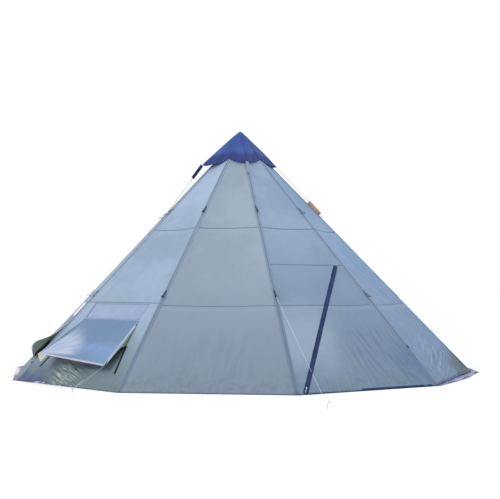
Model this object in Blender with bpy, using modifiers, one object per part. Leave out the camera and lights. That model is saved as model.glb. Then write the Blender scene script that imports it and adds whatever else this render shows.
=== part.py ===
"""Ten-sided pyramid tent on one centre pole, pitched, with its door zipped shut and its two hoods propped.

Metres, +Z up. The origin is on the ground, on the pole's axis. The door wall faces -Y.
Walls and ridges are numbered round the tent, seen from above, anticlockwise from the door.
"""
from collections import namedtuple
import math

import bmesh
import bpy
from mathutils import Matrix, Vector

# Main sizes of the tent
SIDES = 10
CORNER_RADIUS = 3.40
PEAK_HEIGHT = 3.533
CROWN_RADIUS = 0.20

# Cloth and webbing
CLOTH = 0.0015
WEBBING = 0.0020
SEAT_GAP = 0.0003
SEAM_GAP = 0.0004

# Ridge webbings and their guy tabs
RIDGE_BAND_HALF_WIDTH = 0.030
RIDGE_FOOT_LIFT = 0.006
TAB_LENGTH = 0.150
TAB_RISE = 0.036
TAB_WIDTH = 0.022
TAB_SINK = 0.0010
LOWER_TAB_HEIGHT = 1.09
UPPER_TAB_HEIGHT = 2.26
CROWN_RING_WIDTH = 0.040
MERGE_DISTANCE = 0.00001

# Ground skirt: turned out on most walls, and in under the two walls before the door
SKIRT_WIDTH = 0.150
SKIRT_TUCK = 0.020
SKIRT_FLAT = 0.020
SKIRT_FOLD_HEIGHT = 0.030
SKIRT_WAVE = 0.012
SKIRT_FOLDS = 3
SKIRT_COLUMNS = 14
SKIRT_ROWS = 5
# Reach of the outer skirt at its walls' corners and middles in turn, from the door's right corner on
SKIRT_REACH_SHARES = (0.25, 1.0, 0.75, 1.0, 0.70, 0.95, 0.75, 1.0, 0.70, 1.0, 0.75, 0.9, 0.60, 0.50, 0.35)
SILL_OUTSIDE = 0.030

# Door
DOOR_HEIGHT = 2.07
DOOR_FOOT_INSET = 0.115
DOOR_HEAD_INSET = 0.137
DOOR_HINGE_STRIP = 0.070
DOOR_CLEAR_OF_GROUND = 0.008
ZIP_TAPE_WIDTH = 0.031
ZIP_TAPE = 0.0015
SLIDER_WIDTH = 0.013
SLIDER_LENGTH = 0.030
SLIDER_THICK = 0.008
SLIDER_REST = 0.100
PULL_LENGTH = 0.055
PULL_WIDTH = 0.010
PULL_THICK = 0.0025
SMALL_EDGE = 0.0012

# Windows: on each window wall a clear pane, a net below it and a hood over the net
HOOD_HEIGHT = 1.10
HOOD_LENGTH = 0.815
HOOD_TOP_HALF_WIDTH = 0.567
HOOD_HEM_HALF_WIDTH = 0.627
HOOD_SAG = 0.012
HOOD_COLUMNS = 12
HOOD_ROWS = 25
FRONT_HOOD_LIFT = math.radians(11.0)
FRONT_HOOD_SKEW = math.radians(4.1)
FRONT_HOOD_BOW = 0.0
BACK_HOOD_LIFT = math.radians(2.0)
BACK_HOOD_SKEW = 0.0
# A bow is the hood standing out below its middle, most at its right side
BACK_HOOD_BOW = 0.140
# How far down a bowed hood its bow is fullest: 1 puts it at the middle, more puts it lower
HOOD_BOW_POWER = 3.5
# A bowed hood's left side stands out by this share of what its right side does
HOOD_LEFT_BOW_SHARE = 0.15
HEM_ROD_RADIUS = 0.0045
PANE_HALF_WIDTH = 0.550
PANE_HEIGHT = 0.260
PANE_ABOVE_HOOD = 0.022
NET_HALF_WIDTH = 0.500
NET_HEIGHT = 0.620
NET_BELOW_HOOD = 0.060
WINDOW_SEAM = 0.018
WINDOW_SHEET = 0.0010
SIDE_ZIP_TOP_BELOW_HOOD = 0.410
SIDE_ZIP_FOOT_BELOW_HOOD = 0.842
SIDE_ZIP_TOP_OFFSET = 0.641
SIDE_ZIP_FOOT_OFFSET = 0.766
SIDE_ZIP_WIDTH = 0.022
SIDE_ZIP = 0.0015
WING_CLEAR = 0.0008
WING_BULGE = 0.030
WING_ROWS = 3
# Rows of the hood's cloth, from its top, that have no wing beside them
WING_START_ROWS = 3

# Toggles
TOGGLE_RADIUS = 0.006
TOGGLE_LENGTH = 0.050
TOGGLE_TAPER = 0.0035
HOOD_TOGGLE_BELOW_HOOD = 0.830
DOOR_TOGGLE_HEIGHT = 0.470
TOGGLE_STEPS = 12

# Centre pole
POLE_UPPER_RADIUS = 0.0150
POLE_LOWER_RADIUS = 0.0175
POLE_WALL = 0.0016
POLE_JOINT_HEIGHT = 1.850
POLE_OVERLAP = 0.300
FOOT_RADIUS = 0.050
FOOT_THICK = 0.014
FOOT_SOCKET_HEIGHT = 0.055
FOOT_WALL = 0.004
COLLAR_RADIUS = 0.026
COLLAR_HEIGHT = 0.075
COLLAR_GRIP_DEPTH = 0.002
COLLAR_EDGE = 0.004
PLUG_DEPTH = 0.060
PLUG_SHOULDER = 0.008
PIN_RADIUS = 0.008
PIN_TIP = 0.006

# Crown and vent cap
APEX_PLATE_RADIUS = 0.060
APEX_PLATE_THICK = 0.006
CROWN_TOP_RADIUS = 0.050
CROWN_OVERLAP = 0.030
NET = 0.0010
CAP_TIP_HEIGHT = 3.575
CAP_TIP_RADIUS = 0.020
CAP_CORNER_RADIUS = 0.570
# Reach of the cap's five corners, from the guy line's ridge on
CAP_CORNER_SHARES = (0.90, 0.965, 1.0, 1.0, 1.13)
CAP_MIDDLE_RADIUS = 0.410
CAP_CORNER_DROP = 0.540
CAP_MIDDLE_DROP = 0.445
CAP_STEPS_PER_SIDE = 6
CAP_RINGS = 4
CAP_SCALLOP_POWER = 1.8
TIE_WEBBING_LENGTH = 0.250
TIE_WEBBING_WIDTH = 0.042
TIE_CORD_RADIUS = 0.0022
TIE_GAP = 0.0006
TIE_END_SHARE = 0.45

# Guy lines and pegs
GUY_RADIUS = 0.0020
GUY_SAG = 0.006
GUY_POINTS = 24
GUY_PEG_DISTANCE = 4.64
GUY_TIE_HEIGHT = 0.035
PEG_RADIUS = 0.0035
PEG_HEIGHT = 0.075
PEG_HOOK_RADIUS = 0.014
PEG_HOOK_STEPS = 8
PEG_LEAN = 0.020
# How far the line of a peg goes on below the ground, before it is cut off there
PEG_BELOW_SHARE = 0.5
RUNNER_RADIUS = 0.0075
RUNNER_LENGTH = 0.042
RUNNER_CLEAR = 0.0008
RUNNER_END = 0.0020
RUNNER_STEPS = 16
RUNNER_SHARE = 0.72
HOOD_GUY_RADIUS = 0.0018
HOOD_PEG_OUT = 0.345
HOOD_PEG_ALONG = 0.640
HOOD_GUY_TURN_CLEAR = 0.0006
HOOD_GUY_SPREAD = 0.030
HOOD_GUY_DOWN_STEPS = 9
HOOD_GUY_TURN_STEPS = 8
HOOD_GUY_BACK_STEPS = 6
HOOD_GUY_BACK_SHARE = 0.42

TURN = 2 * math.pi / SIDES
HALF_TURN = TURN / 2
APOTHEM = CORNER_RADIUS * math.cos(HALF_TURN)
HALF_SIDE = CORNER_RADIUS * math.sin(HALF_TURN)
WALL_SLANT = math.hypot(APOTHEM, PEAK_HEIGHT)
WALL_ANGLE = math.atan2(PEAK_HEIGHT, APOTHEM)
RIDGE_ANGLE = math.atan2(PEAK_HEIGHT, CORNER_RADIUS)
# Half the angle by which one wall turns from the plane of the next
RIDGE_BEND = math.asin(math.sin(WALL_ANGLE) * math.sin(HALF_TURN))
WALL_FOOT = (CLOTH + SEAT_GAP + CLOTH * math.cos(WALL_ANGLE)) / math.sin(WALL_ANGLE)
WALL_HEAD = WALL_SLANT * (1 - CROWN_RADIUS / APOTHEM)
RIDGE_SLANT = math.hypot(CORNER_RADIUS, PEAK_HEIGHT)
RIDGE_HEAD = RIDGE_SLANT * (1 - CROWN_RADIUS / APOTHEM)
DOOR_WALL = 0
GUY_RIDGE = 0
DOOR_HINGE_RIDGE = 1
CAP_RIDGES = range(0, SIDES, 2)

Window = namedtuple("Window", "side wall lift skew bow")
FRONT_WINDOW = Window("front", SIDES - 2, FRONT_HOOD_LIFT, FRONT_HOOD_SKEW, FRONT_HOOD_BOW)
BACK_WINDOW = Window("back", SIDES - 3, BACK_HOOD_LIFT, BACK_HOOD_SKEW, BACK_HOOD_BOW)
WINDOWS = (FRONT_WINDOW, BACK_WINDOW)
INNER_SKIRT_WALLS = SIDES - FRONT_WINDOW.wall


def clear_scene():
    """Remove whatever the file starts with."""
    for old in list(bpy.data.objects):
        bpy.data.objects.remove(old, do_unlink=True)


clear_scene()
PARTS = bpy.data.collections.new("pyramid_tent")
CUTTERS = bpy.data.collections.new("cutters")
bpy.context.scene.collection.children.link(PARTS)
bpy.context.scene.collection.children.link(CUTTERS)


def make_material(name, colour, roughness, metallic=0.0):
    """One Principled material for a kind of sub-part."""
    material = bpy.data.materials.new(name)
    material.use_nodes = True
    shader = material.node_tree.nodes["Principled BSDF"]
    shader.inputs["Base Color"].default_value = (*colour, 1.0)
    shader.inputs["Roughness"].default_value = roughness
    shader.inputs["Metallic"].default_value = metallic
    return material


WALL_CLOTH = make_material("wall_cloth", (0.30, 0.37, 0.43), 0.60)
CAP_CLOTH = make_material("cap_cloth", (0.07, 0.11, 0.31), 0.55)
SKIRT_CLOTH = make_material("skirt_cloth", (0.18, 0.23, 0.47), 0.45)
HOOD_CLOTH = make_material("hood_cloth", (0.22, 0.33, 0.50), 0.50)
SEAM_TAPE = make_material("seam_tape", (0.27, 0.32, 0.42), 0.60)
NAVY_TAPE = make_material("navy_tape", (0.03, 0.05, 0.14), 0.60)
BLACK_TAPE = make_material("black_tape", (0.02, 0.02, 0.03), 0.60)
CLEAR_SHEET = make_material("clear_sheet", (0.45, 0.48, 0.66), 0.20)
NET_CLOTH = make_material("net_cloth", (0.05, 0.06, 0.06), 0.80)
ALUMINIUM = make_material("aluminium", (0.70, 0.71, 0.72), 0.35, 1.0)
STEEL = make_material("steel", (0.55, 0.56, 0.58), 0.30, 1.0)
BLACK_PLASTIC = make_material("black_plastic", (0.02, 0.02, 0.02), 0.45)
ROD_FIBRE = make_material("rod_fibre", (0.16, 0.05, 0.04), 0.40)
RUBBER = make_material("rubber", (0.03, 0.03, 0.03), 0.85)
CORD_FIBRE = make_material("cord_fibre", (0.45, 0.46, 0.58), 0.70)
TOGGLE_PLASTIC = make_material("toggle_plastic", (0.02, 0.05, 0.04), 0.50)


def add(name, data, material=None, parent=None, location=(0, 0, 0), rotation=(0, 0, 0)):
    """Put an object in the tent's collection, placed in its parent's frame."""
    piece = bpy.data.objects.new(name, data)
    PARTS.objects.link(piece)
    piece.parent = parent
    piece.location = location
    piece.rotation_euler = rotation
    if material:
        if not data.materials:
            data.materials.append(material)
    return piece


def make_frame(name, location, rotation=(0, 0, 0), parent=None):
    """An empty whose axes carry other pieces."""
    frame = add(name, None, None, parent, location, rotation)
    frame.empty_display_size = TAB_LENGTH
    return frame


def make_cutter(piece):
    """Move a helper solid to the cutters, out of the model."""
    PARTS.objects.unlink(piece)
    CUTTERS.objects.link(piece)
    piece.hide_render = True
    piece.display_type = "WIRE"
    return piece


def thicken(piece, thickness, offset):
    """Give an open sheet its thickness, to one side (1 or -1) or both (0)."""
    solid = piece.modifiers.new("thickness", "SOLIDIFY")
    solid.thickness = thickness
    solid.offset = offset
    solid.use_even_offset = True
    return solid


def soften(piece, width, segments=2):
    """Round the edges."""
    bevel = piece.modifiers.new("rounded", "BEVEL")
    bevel.width = width
    bevel.segments = segments
    bevel.limit_method = "ANGLE"
    return bevel


def join_solid(piece, other):
    """Unite a helper solid with the piece."""
    union = piece.modifiers.new("joined", "BOOLEAN")
    union.operation = "UNION"
    union.solver = "EXACT"
    union.object = other


def as_mesh(piece):
    """The piece's evaluated mesh, as new data, with a curve's loose caps welded."""
    bpy.context.view_layer.update()
    graph = bpy.context.evaluated_depsgraph_get()
    mesh = bpy.data.meshes.new_from_object(piece.evaluated_get(graph), depsgraph=graph)
    work = bmesh.new()
    work.from_mesh(mesh)
    bmesh.ops.remove_doubles(work, verts=work.verts, dist=MERGE_DISTANCE)
    work.to_mesh(mesh)
    work.free()
    return mesh


def curve_to_mesh_object(piece):
    """Swap a curve object for a mesh object in the same place."""
    mesh = as_mesh(piece)
    solid = add(piece.name + "_solid", mesh)
    solid.matrix_world = piece.matrix_world
    bpy.data.objects.remove(piece, do_unlink=True)
    return solid


def outline_data(name, outlines, thickness):
    """A flat outline, with any holes, as a filled 2D curve that is thickened both ways."""
    data = bpy.data.curves.new(name, "CURVE")
    data.dimensions = "2D"
    data.fill_mode = "BOTH"
    data.extrude = thickness / 2
    for outline in outlines:
        spline = data.splines.new("POLY")
        spline.points.add(len(outline) - 1)
        spline.use_cyclic_u = True
        for point, (x, y) in zip(spline.points, outline):
            point.co = (x, y, 0, 1)
    return data


def add_flat(name, outlines, thickness, material, parent, lift=0.0):
    """A flat sheet in its parent's XY plane, whose lower face is at the lift."""
    data = outline_data(name, outlines, thickness)
    return add(name, data, material, parent, (0, 0, lift + thickness / 2))


def add_grid(work, columns, rows, place_point):
    """Add a grid whose points are placed by a function of two shares from 0 to 1."""
    grid = bmesh.ops.create_grid(work, x_segments=columns, y_segments=rows, size=1)
    for vertex in grid["verts"]:
        vertex.co = place_point((vertex.co.x + 1) / 2, (vertex.co.y + 1) / 2)


def grid_mesh(name, columns, rows, place_point):
    """One such grid as a mesh of its own."""
    work = bmesh.new()
    add_grid(work, columns, rows, place_point)
    mesh = bpy.data.meshes.new(name)
    work.to_mesh(mesh)
    work.free()
    return mesh


def add_turned(name, profile, material, parent=None, location=(0, 0, 0), steps=32, rotation=(0, 0, 0)):
    """A turned piece: a closed or open profile of (radius, height), run down its outer side first."""
    work = bmesh.new()
    points = [work.verts.new((radius, 0, height)) for radius, height in profile]
    on_axis = profile[0][0] == 0 and profile[-1][0] == 0
    pairs = list(zip(points, points[1:]))
    if not on_axis:
        pairs.append((points[-1], points[0]))
    for first, second in pairs:
        work.edges.new((first, second))
    mesh = bpy.data.meshes.new(name)
    work.to_mesh(mesh)
    work.free()
    piece = add(name, mesh, material, parent, location, rotation)
    screw = piece.modifiers.new("turned", "SCREW")
    screw.steps = steps
    screw.render_steps = steps
    screw.use_merge_vertices = True
    screw.merge_threshold = MERGE_DISTANCE
    screw.use_smooth_shade = True
    return piece


def add_tube(name, points, radius, material, parent=None, resolution=2):
    """A round bar or cord through the points."""
    data = bpy.data.curves.new(name, "CURVE")
    data.dimensions = "3D"
    data.bevel_depth = radius
    data.bevel_resolution = resolution
    data.use_fill_caps = True
    spline = data.splines.new("POLY")
    spline.points.add(len(points) - 1)
    for point, place in zip(spline.points, points):
        point.co = (*place, 1)
    return add(name, data, material, parent)


def add_block(name, size, material, parent, location, edge=0.0, rotation=(0, 0, 0)):
    """A box of the given size about its own centre, with rounded edges."""
    work = bmesh.new()
    bmesh.ops.create_cube(work, size=1)
    bmesh.ops.scale(work, vec=size, verts=work.verts)
    mesh = bpy.data.meshes.new(name)
    work.to_mesh(mesh)
    work.free()
    piece = add(name, mesh, material, parent, location, rotation)
    if edge:
        soften(piece, edge)
    return piece


def half_width(height):
    """Half the width of a wall at a height up its slope."""
    return HALF_SIDE * (1 - height / WALL_SLANT)


def offset_line(start, end, distance):
    """The line from start to end, moved to its left."""
    way = (Vector(end) - Vector(start)).normalized()
    side = Vector((-way.y, way.x)) * distance
    return Vector(start) + side, Vector(end) + side


def level(height):
    """A level line across a wall."""
    return Vector((0, height)), Vector((HALF_SIDE, height))


def crossing(first, second):
    """Where two lines of a wall's plane meet."""
    (a, b), (c, d) = first, second
    along, across = b - a, d - c
    share = (c - a).cross(across) / along.cross(across)
    return tuple(a + along * share)


def wall_place(number):
    """Location and rotation of a wall's frame: X along its foot, Y up its slope, Z outwards."""
    turn = number * TURN
    location = (APOTHEM * math.sin(turn), -APOTHEM * math.cos(turn), 0)
    return location, (WALL_ANGLE, 0, turn)


def ridge_place(number):
    """Location and rotation of a ridge's frame: X across, Y up the ridge, Z outwards."""
    turn = number * TURN - HALF_TURN
    location = (CORNER_RADIUS * math.sin(turn), -CORNER_RADIUS * math.cos(turn), 0)
    return location, (RIDGE_ANGLE, 0, turn)


def frame_matrix(place):
    """The same frame as a matrix."""
    location, (tilt, _, turn) = place
    return Matrix.Translation(location) @ Matrix.Rotation(turn, 4, "Z") @ Matrix.Rotation(tilt, 4, "X")


def add_walls():
    """The walls that have neither the door nor the window."""
    left, right = half_width(WALL_FOOT) - SEAM_GAP, half_width(WALL_HEAD) - SEAM_GAP
    outline = [(-left, WALL_FOOT), (left, WALL_FOOT), (right, WALL_HEAD), (-right, WALL_HEAD)]
    data = outline_data("wall", [outline], CLOTH)
    special = [DOOR_WALL] + [window.wall for window in WINDOWS]
    for number in range(SIDES):
        if number not in special:
            add(f"wall_{number}", data, WALL_CLOTH, WALLS[number], (0, 0, -CLOTH / 2))


def band_point(number, across, up):
    """A point of the band folded over a ridge; up is 0 at its foot, half at the ring and 1 at its head."""
    foot = RIDGE_FOOT_LIFT + RIDGE_BAND_HALF_WIDTH * math.tan(RIDGE_BEND)
    heights = (foot, RIDGE_HEAD - CROWN_RING_WIDTH, RIDGE_HEAD)
    x = (2 * across - 1) * RIDGE_BAND_HALF_WIDTH
    z = SEAT_GAP / math.cos(RIDGE_BEND) - abs(x) * math.tan(RIDGE_BEND)
    return frame_matrix(ridge_place(number)) @ Vector((x, heights[round(2 * up)], z))


def crown_ring_point(number, across, up):
    """A point of the crown ring on a wall, from the band on its left to the band on its right."""
    rise = (1 + up) / 2
    return band_point(number, 1, rise).lerp(band_point(number + 1, 0, rise), across)


def tab_base():
    """Height over the ridge line at which a tab starts, a little inside the band."""
    return SEAT_GAP + WEBBING - TAB_SINK


def tab_foot(height):
    """Distance up the ridge of the lower end of the tab at a height above the ground."""
    return height / math.sin(RIDGE_ANGLE)


def tab_outline(height):
    """A webbing tab seen from the side: a long triangle on the ridge, tallest at its lower end."""
    foot = tab_foot(height)
    return [(foot, tab_base()), (foot + TAB_LENGTH, tab_base()), (foot, tab_base() + TAB_RISE)]


def add_tabs():
    """The guy tabs of all ridges, as one helper: one near each ridge's middle and one near its top."""
    outlines = [tab_outline(LOWER_TAB_HEIGHT), tab_outline(UPPER_TAB_HEIGHT)]
    flat = add("tab_pair", outline_data("tab_pair", outlines, TAB_WIDTH))
    pair = as_mesh(flat)
    bpy.data.objects.remove(flat, do_unlink=True)
    # The outlines' plane stands upright along the ridge
    pair.transform(Matrix.Rotation(math.pi / 2, 4, "Z") @ Matrix.Rotation(math.pi / 2, 4, "X"))
    work = bmesh.new()
    for number in range(SIDES):
        placed = pair.copy()
        placed.transform(frame_matrix(ridge_place(number)))
        work.from_mesh(placed)
    mesh = bpy.data.meshes.new("guy_tabs")
    work.to_mesh(mesh)
    work.free()
    return make_cutter(add("guy_tabs", mesh))


def add_ridge_webbing():
    """The bands over all ridges, with their tabs, joined round the crown by a ring of the same webbing."""
    work = bmesh.new()
    for number in range(SIDES):
        add_grid(work, 2, 2, lambda across, up: band_point(number, across, up))
        add_grid(work, 1, 1, lambda across, up: crown_ring_point(number, across, up))
    bmesh.ops.remove_doubles(work, verts=work.verts, dist=MERGE_DISTANCE)
    mesh = bpy.data.meshes.new("ridge_webbing")
    work.to_mesh(mesh)
    work.free()
    webbing = add("ridge_webbing", mesh, SEAM_TAPE)
    thicken(webbing, WEBBING, 1)
    join_solid(webbing, add_tabs())


def skirt_reach(along):
    """Share of the full width at which the outer skirt lies, some way along it."""
    place = along * (len(SKIRT_REACH_SHARES) - 1)
    number = min(int(place), len(SKIRT_REACH_SHARES) - 2)
    low, high = SKIRT_REACH_SHARES[number:number + 2]
    return low + (high - low) * (place - number)


def foot_point(first_wall, wall_count, along, distance, height):
    """A point a distance outside the line of the walls' feet, some way along a run of walls."""
    run = along * wall_count
    number = min(int(run), wall_count - 1)
    radius = APOTHEM + distance
    half = radius * math.tan(HALF_TURN)
    side = (2 * (run - number) - 1) * half
    if along in (0, 1):
        side *= 1 - SEAM_GAP / half
    turn = (first_wall + number) * TURN
    x = radius * math.sin(turn) + side * math.cos(turn)
    y = -radius * math.cos(turn) + side * math.sin(turn)
    return x, y, height


def add_skirts():
    """The skirt that lies outside the walls in loose folds, and the length that is turned in."""
    outer_walls = SIDES - 1 - INNER_SKIRT_WALLS

    def outer_point(along, out):
        # The first row of faces is flat, under the wall's foot, and the rest is loose
        loose = max(0.0, (out * SKIRT_ROWS - 1) / (SKIRT_ROWS - 1))
        flat = min(1.0, out * SKIRT_ROWS)
        reach = skirt_reach(along)
        ripple = reach * loose * (1 - math.cos(2 * math.pi * SKIRT_FOLDS * outer_walls * along)) / 2
        distance = -SKIRT_TUCK + flat * (SKIRT_TUCK + SKIRT_FLAT) + loose * (SKIRT_WIDTH * reach - SKIRT_FLAT)
        height = CLOTH / 2 + SKIRT_FOLD_HEIGHT * ripple
        return foot_point(1, outer_walls, along, distance - SKIRT_WAVE * ripple, height)

    def inner_point(along, out):
        distance = SKIRT_TUCK - out * (SKIRT_TUCK + SKIRT_WIDTH)
        return foot_point(1 + outer_walls, INNER_SKIRT_WALLS, along, distance, CLOTH / 2)

    outer = grid_mesh("skirt_outer", SKIRT_COLUMNS * outer_walls, SKIRT_ROWS, outer_point)
    inner = grid_mesh("skirt_inner", INNER_SKIRT_WALLS, 1, inner_point)
    for mesh in (outer, inner):
        thicken(add(mesh.name, mesh, SKIRT_CLOTH), CLOTH, 0)


def add_sill():
    """The strap that ties the two door corners together along the ground."""
    inner, outer = APOTHEM - SKIRT_TUCK, APOTHEM + SILL_OUTSIDE
    inner_half = inner * math.tan(HALF_TURN) - SEAM_GAP
    outer_half = outer * math.tan(HALF_TURN) - SEAM_GAP
    outline = [(-outer_half, -outer), (outer_half, -outer), (inner_half, -inner), (-inner_half, -inner)]
    add_flat("door_sill_strap", [outline], CLOTH, NAVY_TAPE, None)


def door_lines():
    """The zip line and the hinge line of the door, both running up the wall."""
    zip_foot = Vector((-HALF_SIDE + DOOR_FOOT_INSET, 0))
    zip_head = Vector((half_width(DOOR_HEIGHT) - DOOR_HEAD_INSET, DOOR_HEIGHT))
    ridge = Vector((HALF_SIDE, 0)), Vector((half_width(DOOR_HEIGHT), DOOR_HEIGHT))
    return (zip_foot, zip_head), offset_line(*ridge, DOOR_HINGE_STRIP)


def add_door():
    """The door wall round the opening, the door cloth, its zip and its slider."""
    zip_line, hinge_line = door_lines()
    wall = WALLS[DOOR_WALL]
    foot, head = level(WALL_FOOT), level(DOOR_HEIGHT)
    left, top = half_width(WALL_FOOT) - SEAM_GAP, half_width(WALL_HEAD) - SEAM_GAP
    outside_zip = offset_line(*zip_line, SEAM_GAP)
    outside_hinge = offset_line(*hinge_line, -SEAM_GAP)
    above_door = level(DOOR_HEIGHT + SEAM_GAP)
    surround = [
        (-left, WALL_FOOT),
        crossing(outside_zip, foot),
        crossing(outside_zip, above_door),
        crossing(outside_hinge, above_door),
        crossing(outside_hinge, foot),
        (left, WALL_FOOT),
        (top, WALL_HEAD),
        (-top, WALL_HEAD),
    ]
    add_flat("door_wall", [surround], CLOTH, WALL_CLOTH, wall, -CLOTH)

    # The door's frame stands on the hinge line, Y up the line, so the cloth turns about Y
    hinge_foot, hinge_head = hinge_line
    lean = math.atan2(hinge_foot.x - hinge_head.x, hinge_head.y - hinge_foot.y)
    hinge = make_frame("door_hinge", (*hinge_foot, 0), (0, 0, lean), wall)
    to_hinge = Matrix.Rotation(-lean, 2)

    def in_hinge(point):
        return tuple(to_hinge @ (Vector(point) - hinge_foot))

    door_foot = level(WALL_FOOT + DOOR_CLEAR_OF_GROUND)
    below_head = level(DOOR_HEIGHT - SEAM_GAP)
    inside_zip = offset_line(*zip_line, -SEAM_GAP)
    inside_hinge = offset_line(*hinge_line, SEAM_GAP)
    cloth = [
        crossing(inside_zip, door_foot),
        crossing(inside_hinge, door_foot),
        crossing(inside_hinge, below_head),
        crossing(inside_zip, below_head),
    ]
    add_flat("door_cloth", [[in_hinge(p) for p in cloth]], CLOTH, WALL_CLOTH, hinge, -CLOTH)
    tape_edge = offset_line(*zip_line, -ZIP_TAPE_WIDTH)
    tape = [
        crossing(inside_zip, door_foot),
        crossing(tape_edge, door_foot),
        crossing(tape_edge, below_head),
        crossing(inside_zip, below_head),
    ]
    add_flat("door_zip_tape", [[in_hinge(p) for p in tape]], ZIP_TAPE, NAVY_TAPE, hinge, SEAT_GAP)
    tape_edge = offset_line(*zip_line, ZIP_TAPE_WIDTH)
    tape = [
        crossing(tape_edge, door_foot),
        crossing(outside_zip, door_foot),
        crossing(outside_zip, below_head),
        crossing(tape_edge, below_head),
    ]
    add_flat("wall_zip_tape", [tape], ZIP_TAPE, NAVY_TAPE, wall, SEAT_GAP)
    add_door_slider(zip_line, wall)


def add_door_slider(zip_line, wall):
    """The slider at the foot of the zip, on the wall's tape, and its hanging pull."""
    zip_foot, zip_head = zip_line
    lean = math.atan2(zip_foot.x - zip_head.x, zip_head.y - zip_foot.y)
    track = make_frame("door_zip_track", (*zip_foot, SEAT_GAP + ZIP_TAPE + SEAT_GAP), (0, 0, lean), wall)
    across = -(SEAM_GAP + SLIDER_WIDTH / 2)
    slider = make_frame("door_slider_place", (across, SLIDER_REST, 0), parent=track)
    size = (SLIDER_WIDTH, SLIDER_LENGTH, SLIDER_THICK)
    add_block("door_zip_slider", size, STEEL, slider, (0, 0, SLIDER_THICK / 2), SMALL_EDGE)
    pivot_y = -(SLIDER_LENGTH / 2 + PULL_THICK + SEAT_GAP)
    pull = make_frame("door_pull_pivot", (0, pivot_y, PULL_THICK / 2), parent=slider)
    size = (PULL_WIDTH, PULL_LENGTH, PULL_THICK)
    place = (0, PULL_THICK / 2 - PULL_LENGTH / 2, 0)
    add_block("door_zip_pull", size, STEEL, pull, place, SMALL_EDGE / 2)


def box_outline(half, low, high):
    """A rectangle centred across a wall."""
    return [(-half, low), (half, low), (half, high), (-half, high)]


def add_window_wall(window):
    """A window wall with its two openings, the clear pane and the net behind them."""
    wall = WALLS[window.wall]
    left, top = half_width(WALL_FOOT) - SEAM_GAP, half_width(WALL_HEAD) - SEAM_GAP
    outline = [(-left, WALL_FOOT), (left, WALL_FOOT), (top, WALL_HEAD), (-top, WALL_HEAD)]
    pane_low = HOOD_HEIGHT + PANE_ABOVE_HOOD
    pane_high = pane_low + PANE_HEIGHT
    net_high = HOOD_HEIGHT - NET_BELOW_HOOD
    net_low = net_high - NET_HEIGHT
    pane = box_outline(PANE_HALF_WIDTH, pane_low, pane_high)
    net = box_outline(NET_HALF_WIDTH, net_low, net_high)
    add_flat(f"{window.side}_window_wall", [outline, pane, net], CLOTH, WALL_CLOTH, wall, -CLOTH)
    behind = -CLOTH - SEAT_GAP - WINDOW_SHEET
    seam = WINDOW_SEAM
    pane = box_outline(PANE_HALF_WIDTH + seam, pane_low - seam, pane_high + seam)
    net = box_outline(NET_HALF_WIDTH + seam, net_low - seam, net_high + seam)
    add_flat(f"{window.side}_window_pane", [pane], WINDOW_SHEET, CLEAR_SHEET, wall, behind)
    add_flat(f"{window.side}_window_net", [net], WINDOW_SHEET, NET_CLOTH, wall, behind)


def hood_half_width(down):
    """Half the hood's width at a share of its length below the hinge."""
    return HOOD_TOP_HALF_WIDTH + (HOOD_HEM_HALF_WIDTH - HOOD_TOP_HALF_WIDTH) * down


def hood_reach(window):
    """Straight distance from a hood's hinge to its hem: a bowed cloth of the same length reaches less far."""
    return HOOD_LENGTH - (math.pi * window.bow / 2) ** 2 / HOOD_LENGTH


def hood_twist(window, side, down):
    """How far a skewed hood stands out, beyond its lift, at its left side (-1) to its right side (1)."""
    return -HOOD_LENGTH * math.tan(window.skew) * side * down


def hood_bow(window, side):
    """How far a hood's cloth bows out, from its left side (-1), where it is tauter, to its right side (1)."""
    across = (1 + side) / 2
    return window.bow * (HOOD_LEFT_BOW_SHARE + (1 - HOOD_LEFT_BOW_SHARE) * across)


def hood_side_point(window, side, down):
    """A point of the line down a hood's cloth at its left side (-1) to its right side (1)."""
    bow = hood_bow(window, side) * math.sin(math.pi * down ** HOOD_BOW_POWER)
    z = hood_twist(window, side, down) + bow
    return Vector((hood_half_width(down) * side, -hood_reach(window) * down, z))


def hood_point(window, across, down):
    """A point of the hood's cloth in the hinge's frame; its sag dies out at the top and at the rod."""
    side = 2 * across - 1
    sag = HOOD_SAG * math.sin(math.pi * down) ** 2 * (1 - side * side)
    return hood_side_point(window, side, down) - Vector((0, 0, sag))


def rod_point(window, side):
    """A point of the rod's axis, in the hinge's frame: inside the hem, square to the cloth there."""
    slope = math.atan2(math.pi * HOOD_BOW_POWER * hood_bow(window, side), hood_reach(window))
    seat = Matrix.Rotation(slope, 3, "X") @ Vector((0, HEM_ROD_RADIUS, -2 * SEAT_GAP - HEM_ROD_RADIUS))
    return hood_side_point(window, side, 1) + seat


def hood_hinge_place(window):
    """Location and rotation of a hood's hinge in its wall's frame; positive turns about X let it down."""
    return (0, HOOD_HEIGHT, SEAT_GAP), (-window.lift, 0, 0)


def add_hood(window):
    """A hood's cloth, the rod in its hem and its side wings, all on the hinge along its top."""
    wall = WALLS[window.wall]
    hinge = make_frame(f"{window.side}_hood_hinge", *hood_hinge_place(window), wall)

    def place_point(across, down):
        return hood_point(window, across, 1 - down)

    name = f"{window.side}_hood_cloth"
    cloth = add(name, grid_mesh(name, HOOD_COLUMNS, HOOD_ROWS, place_point), HOOD_CLOTH, hinge)
    thicken(cloth, CLOTH, 1)
    line = [rod_point(window, 2 * column / HOOD_COLUMNS - 1) for column in range(HOOD_COLUMNS + 1)]
    add_tube(f"{window.side}_hood_rod", line, HEM_ROD_RADIUS, ROD_FIBRE, hinge)
    for hand_name, hand in (("left", -1), ("right", 1)):
        add_wing(window, hand_name, hand, hinge)
        add_side_zip(window, hand_name, hand, wall)
    add_hood_toggle(window, wall)


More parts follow.
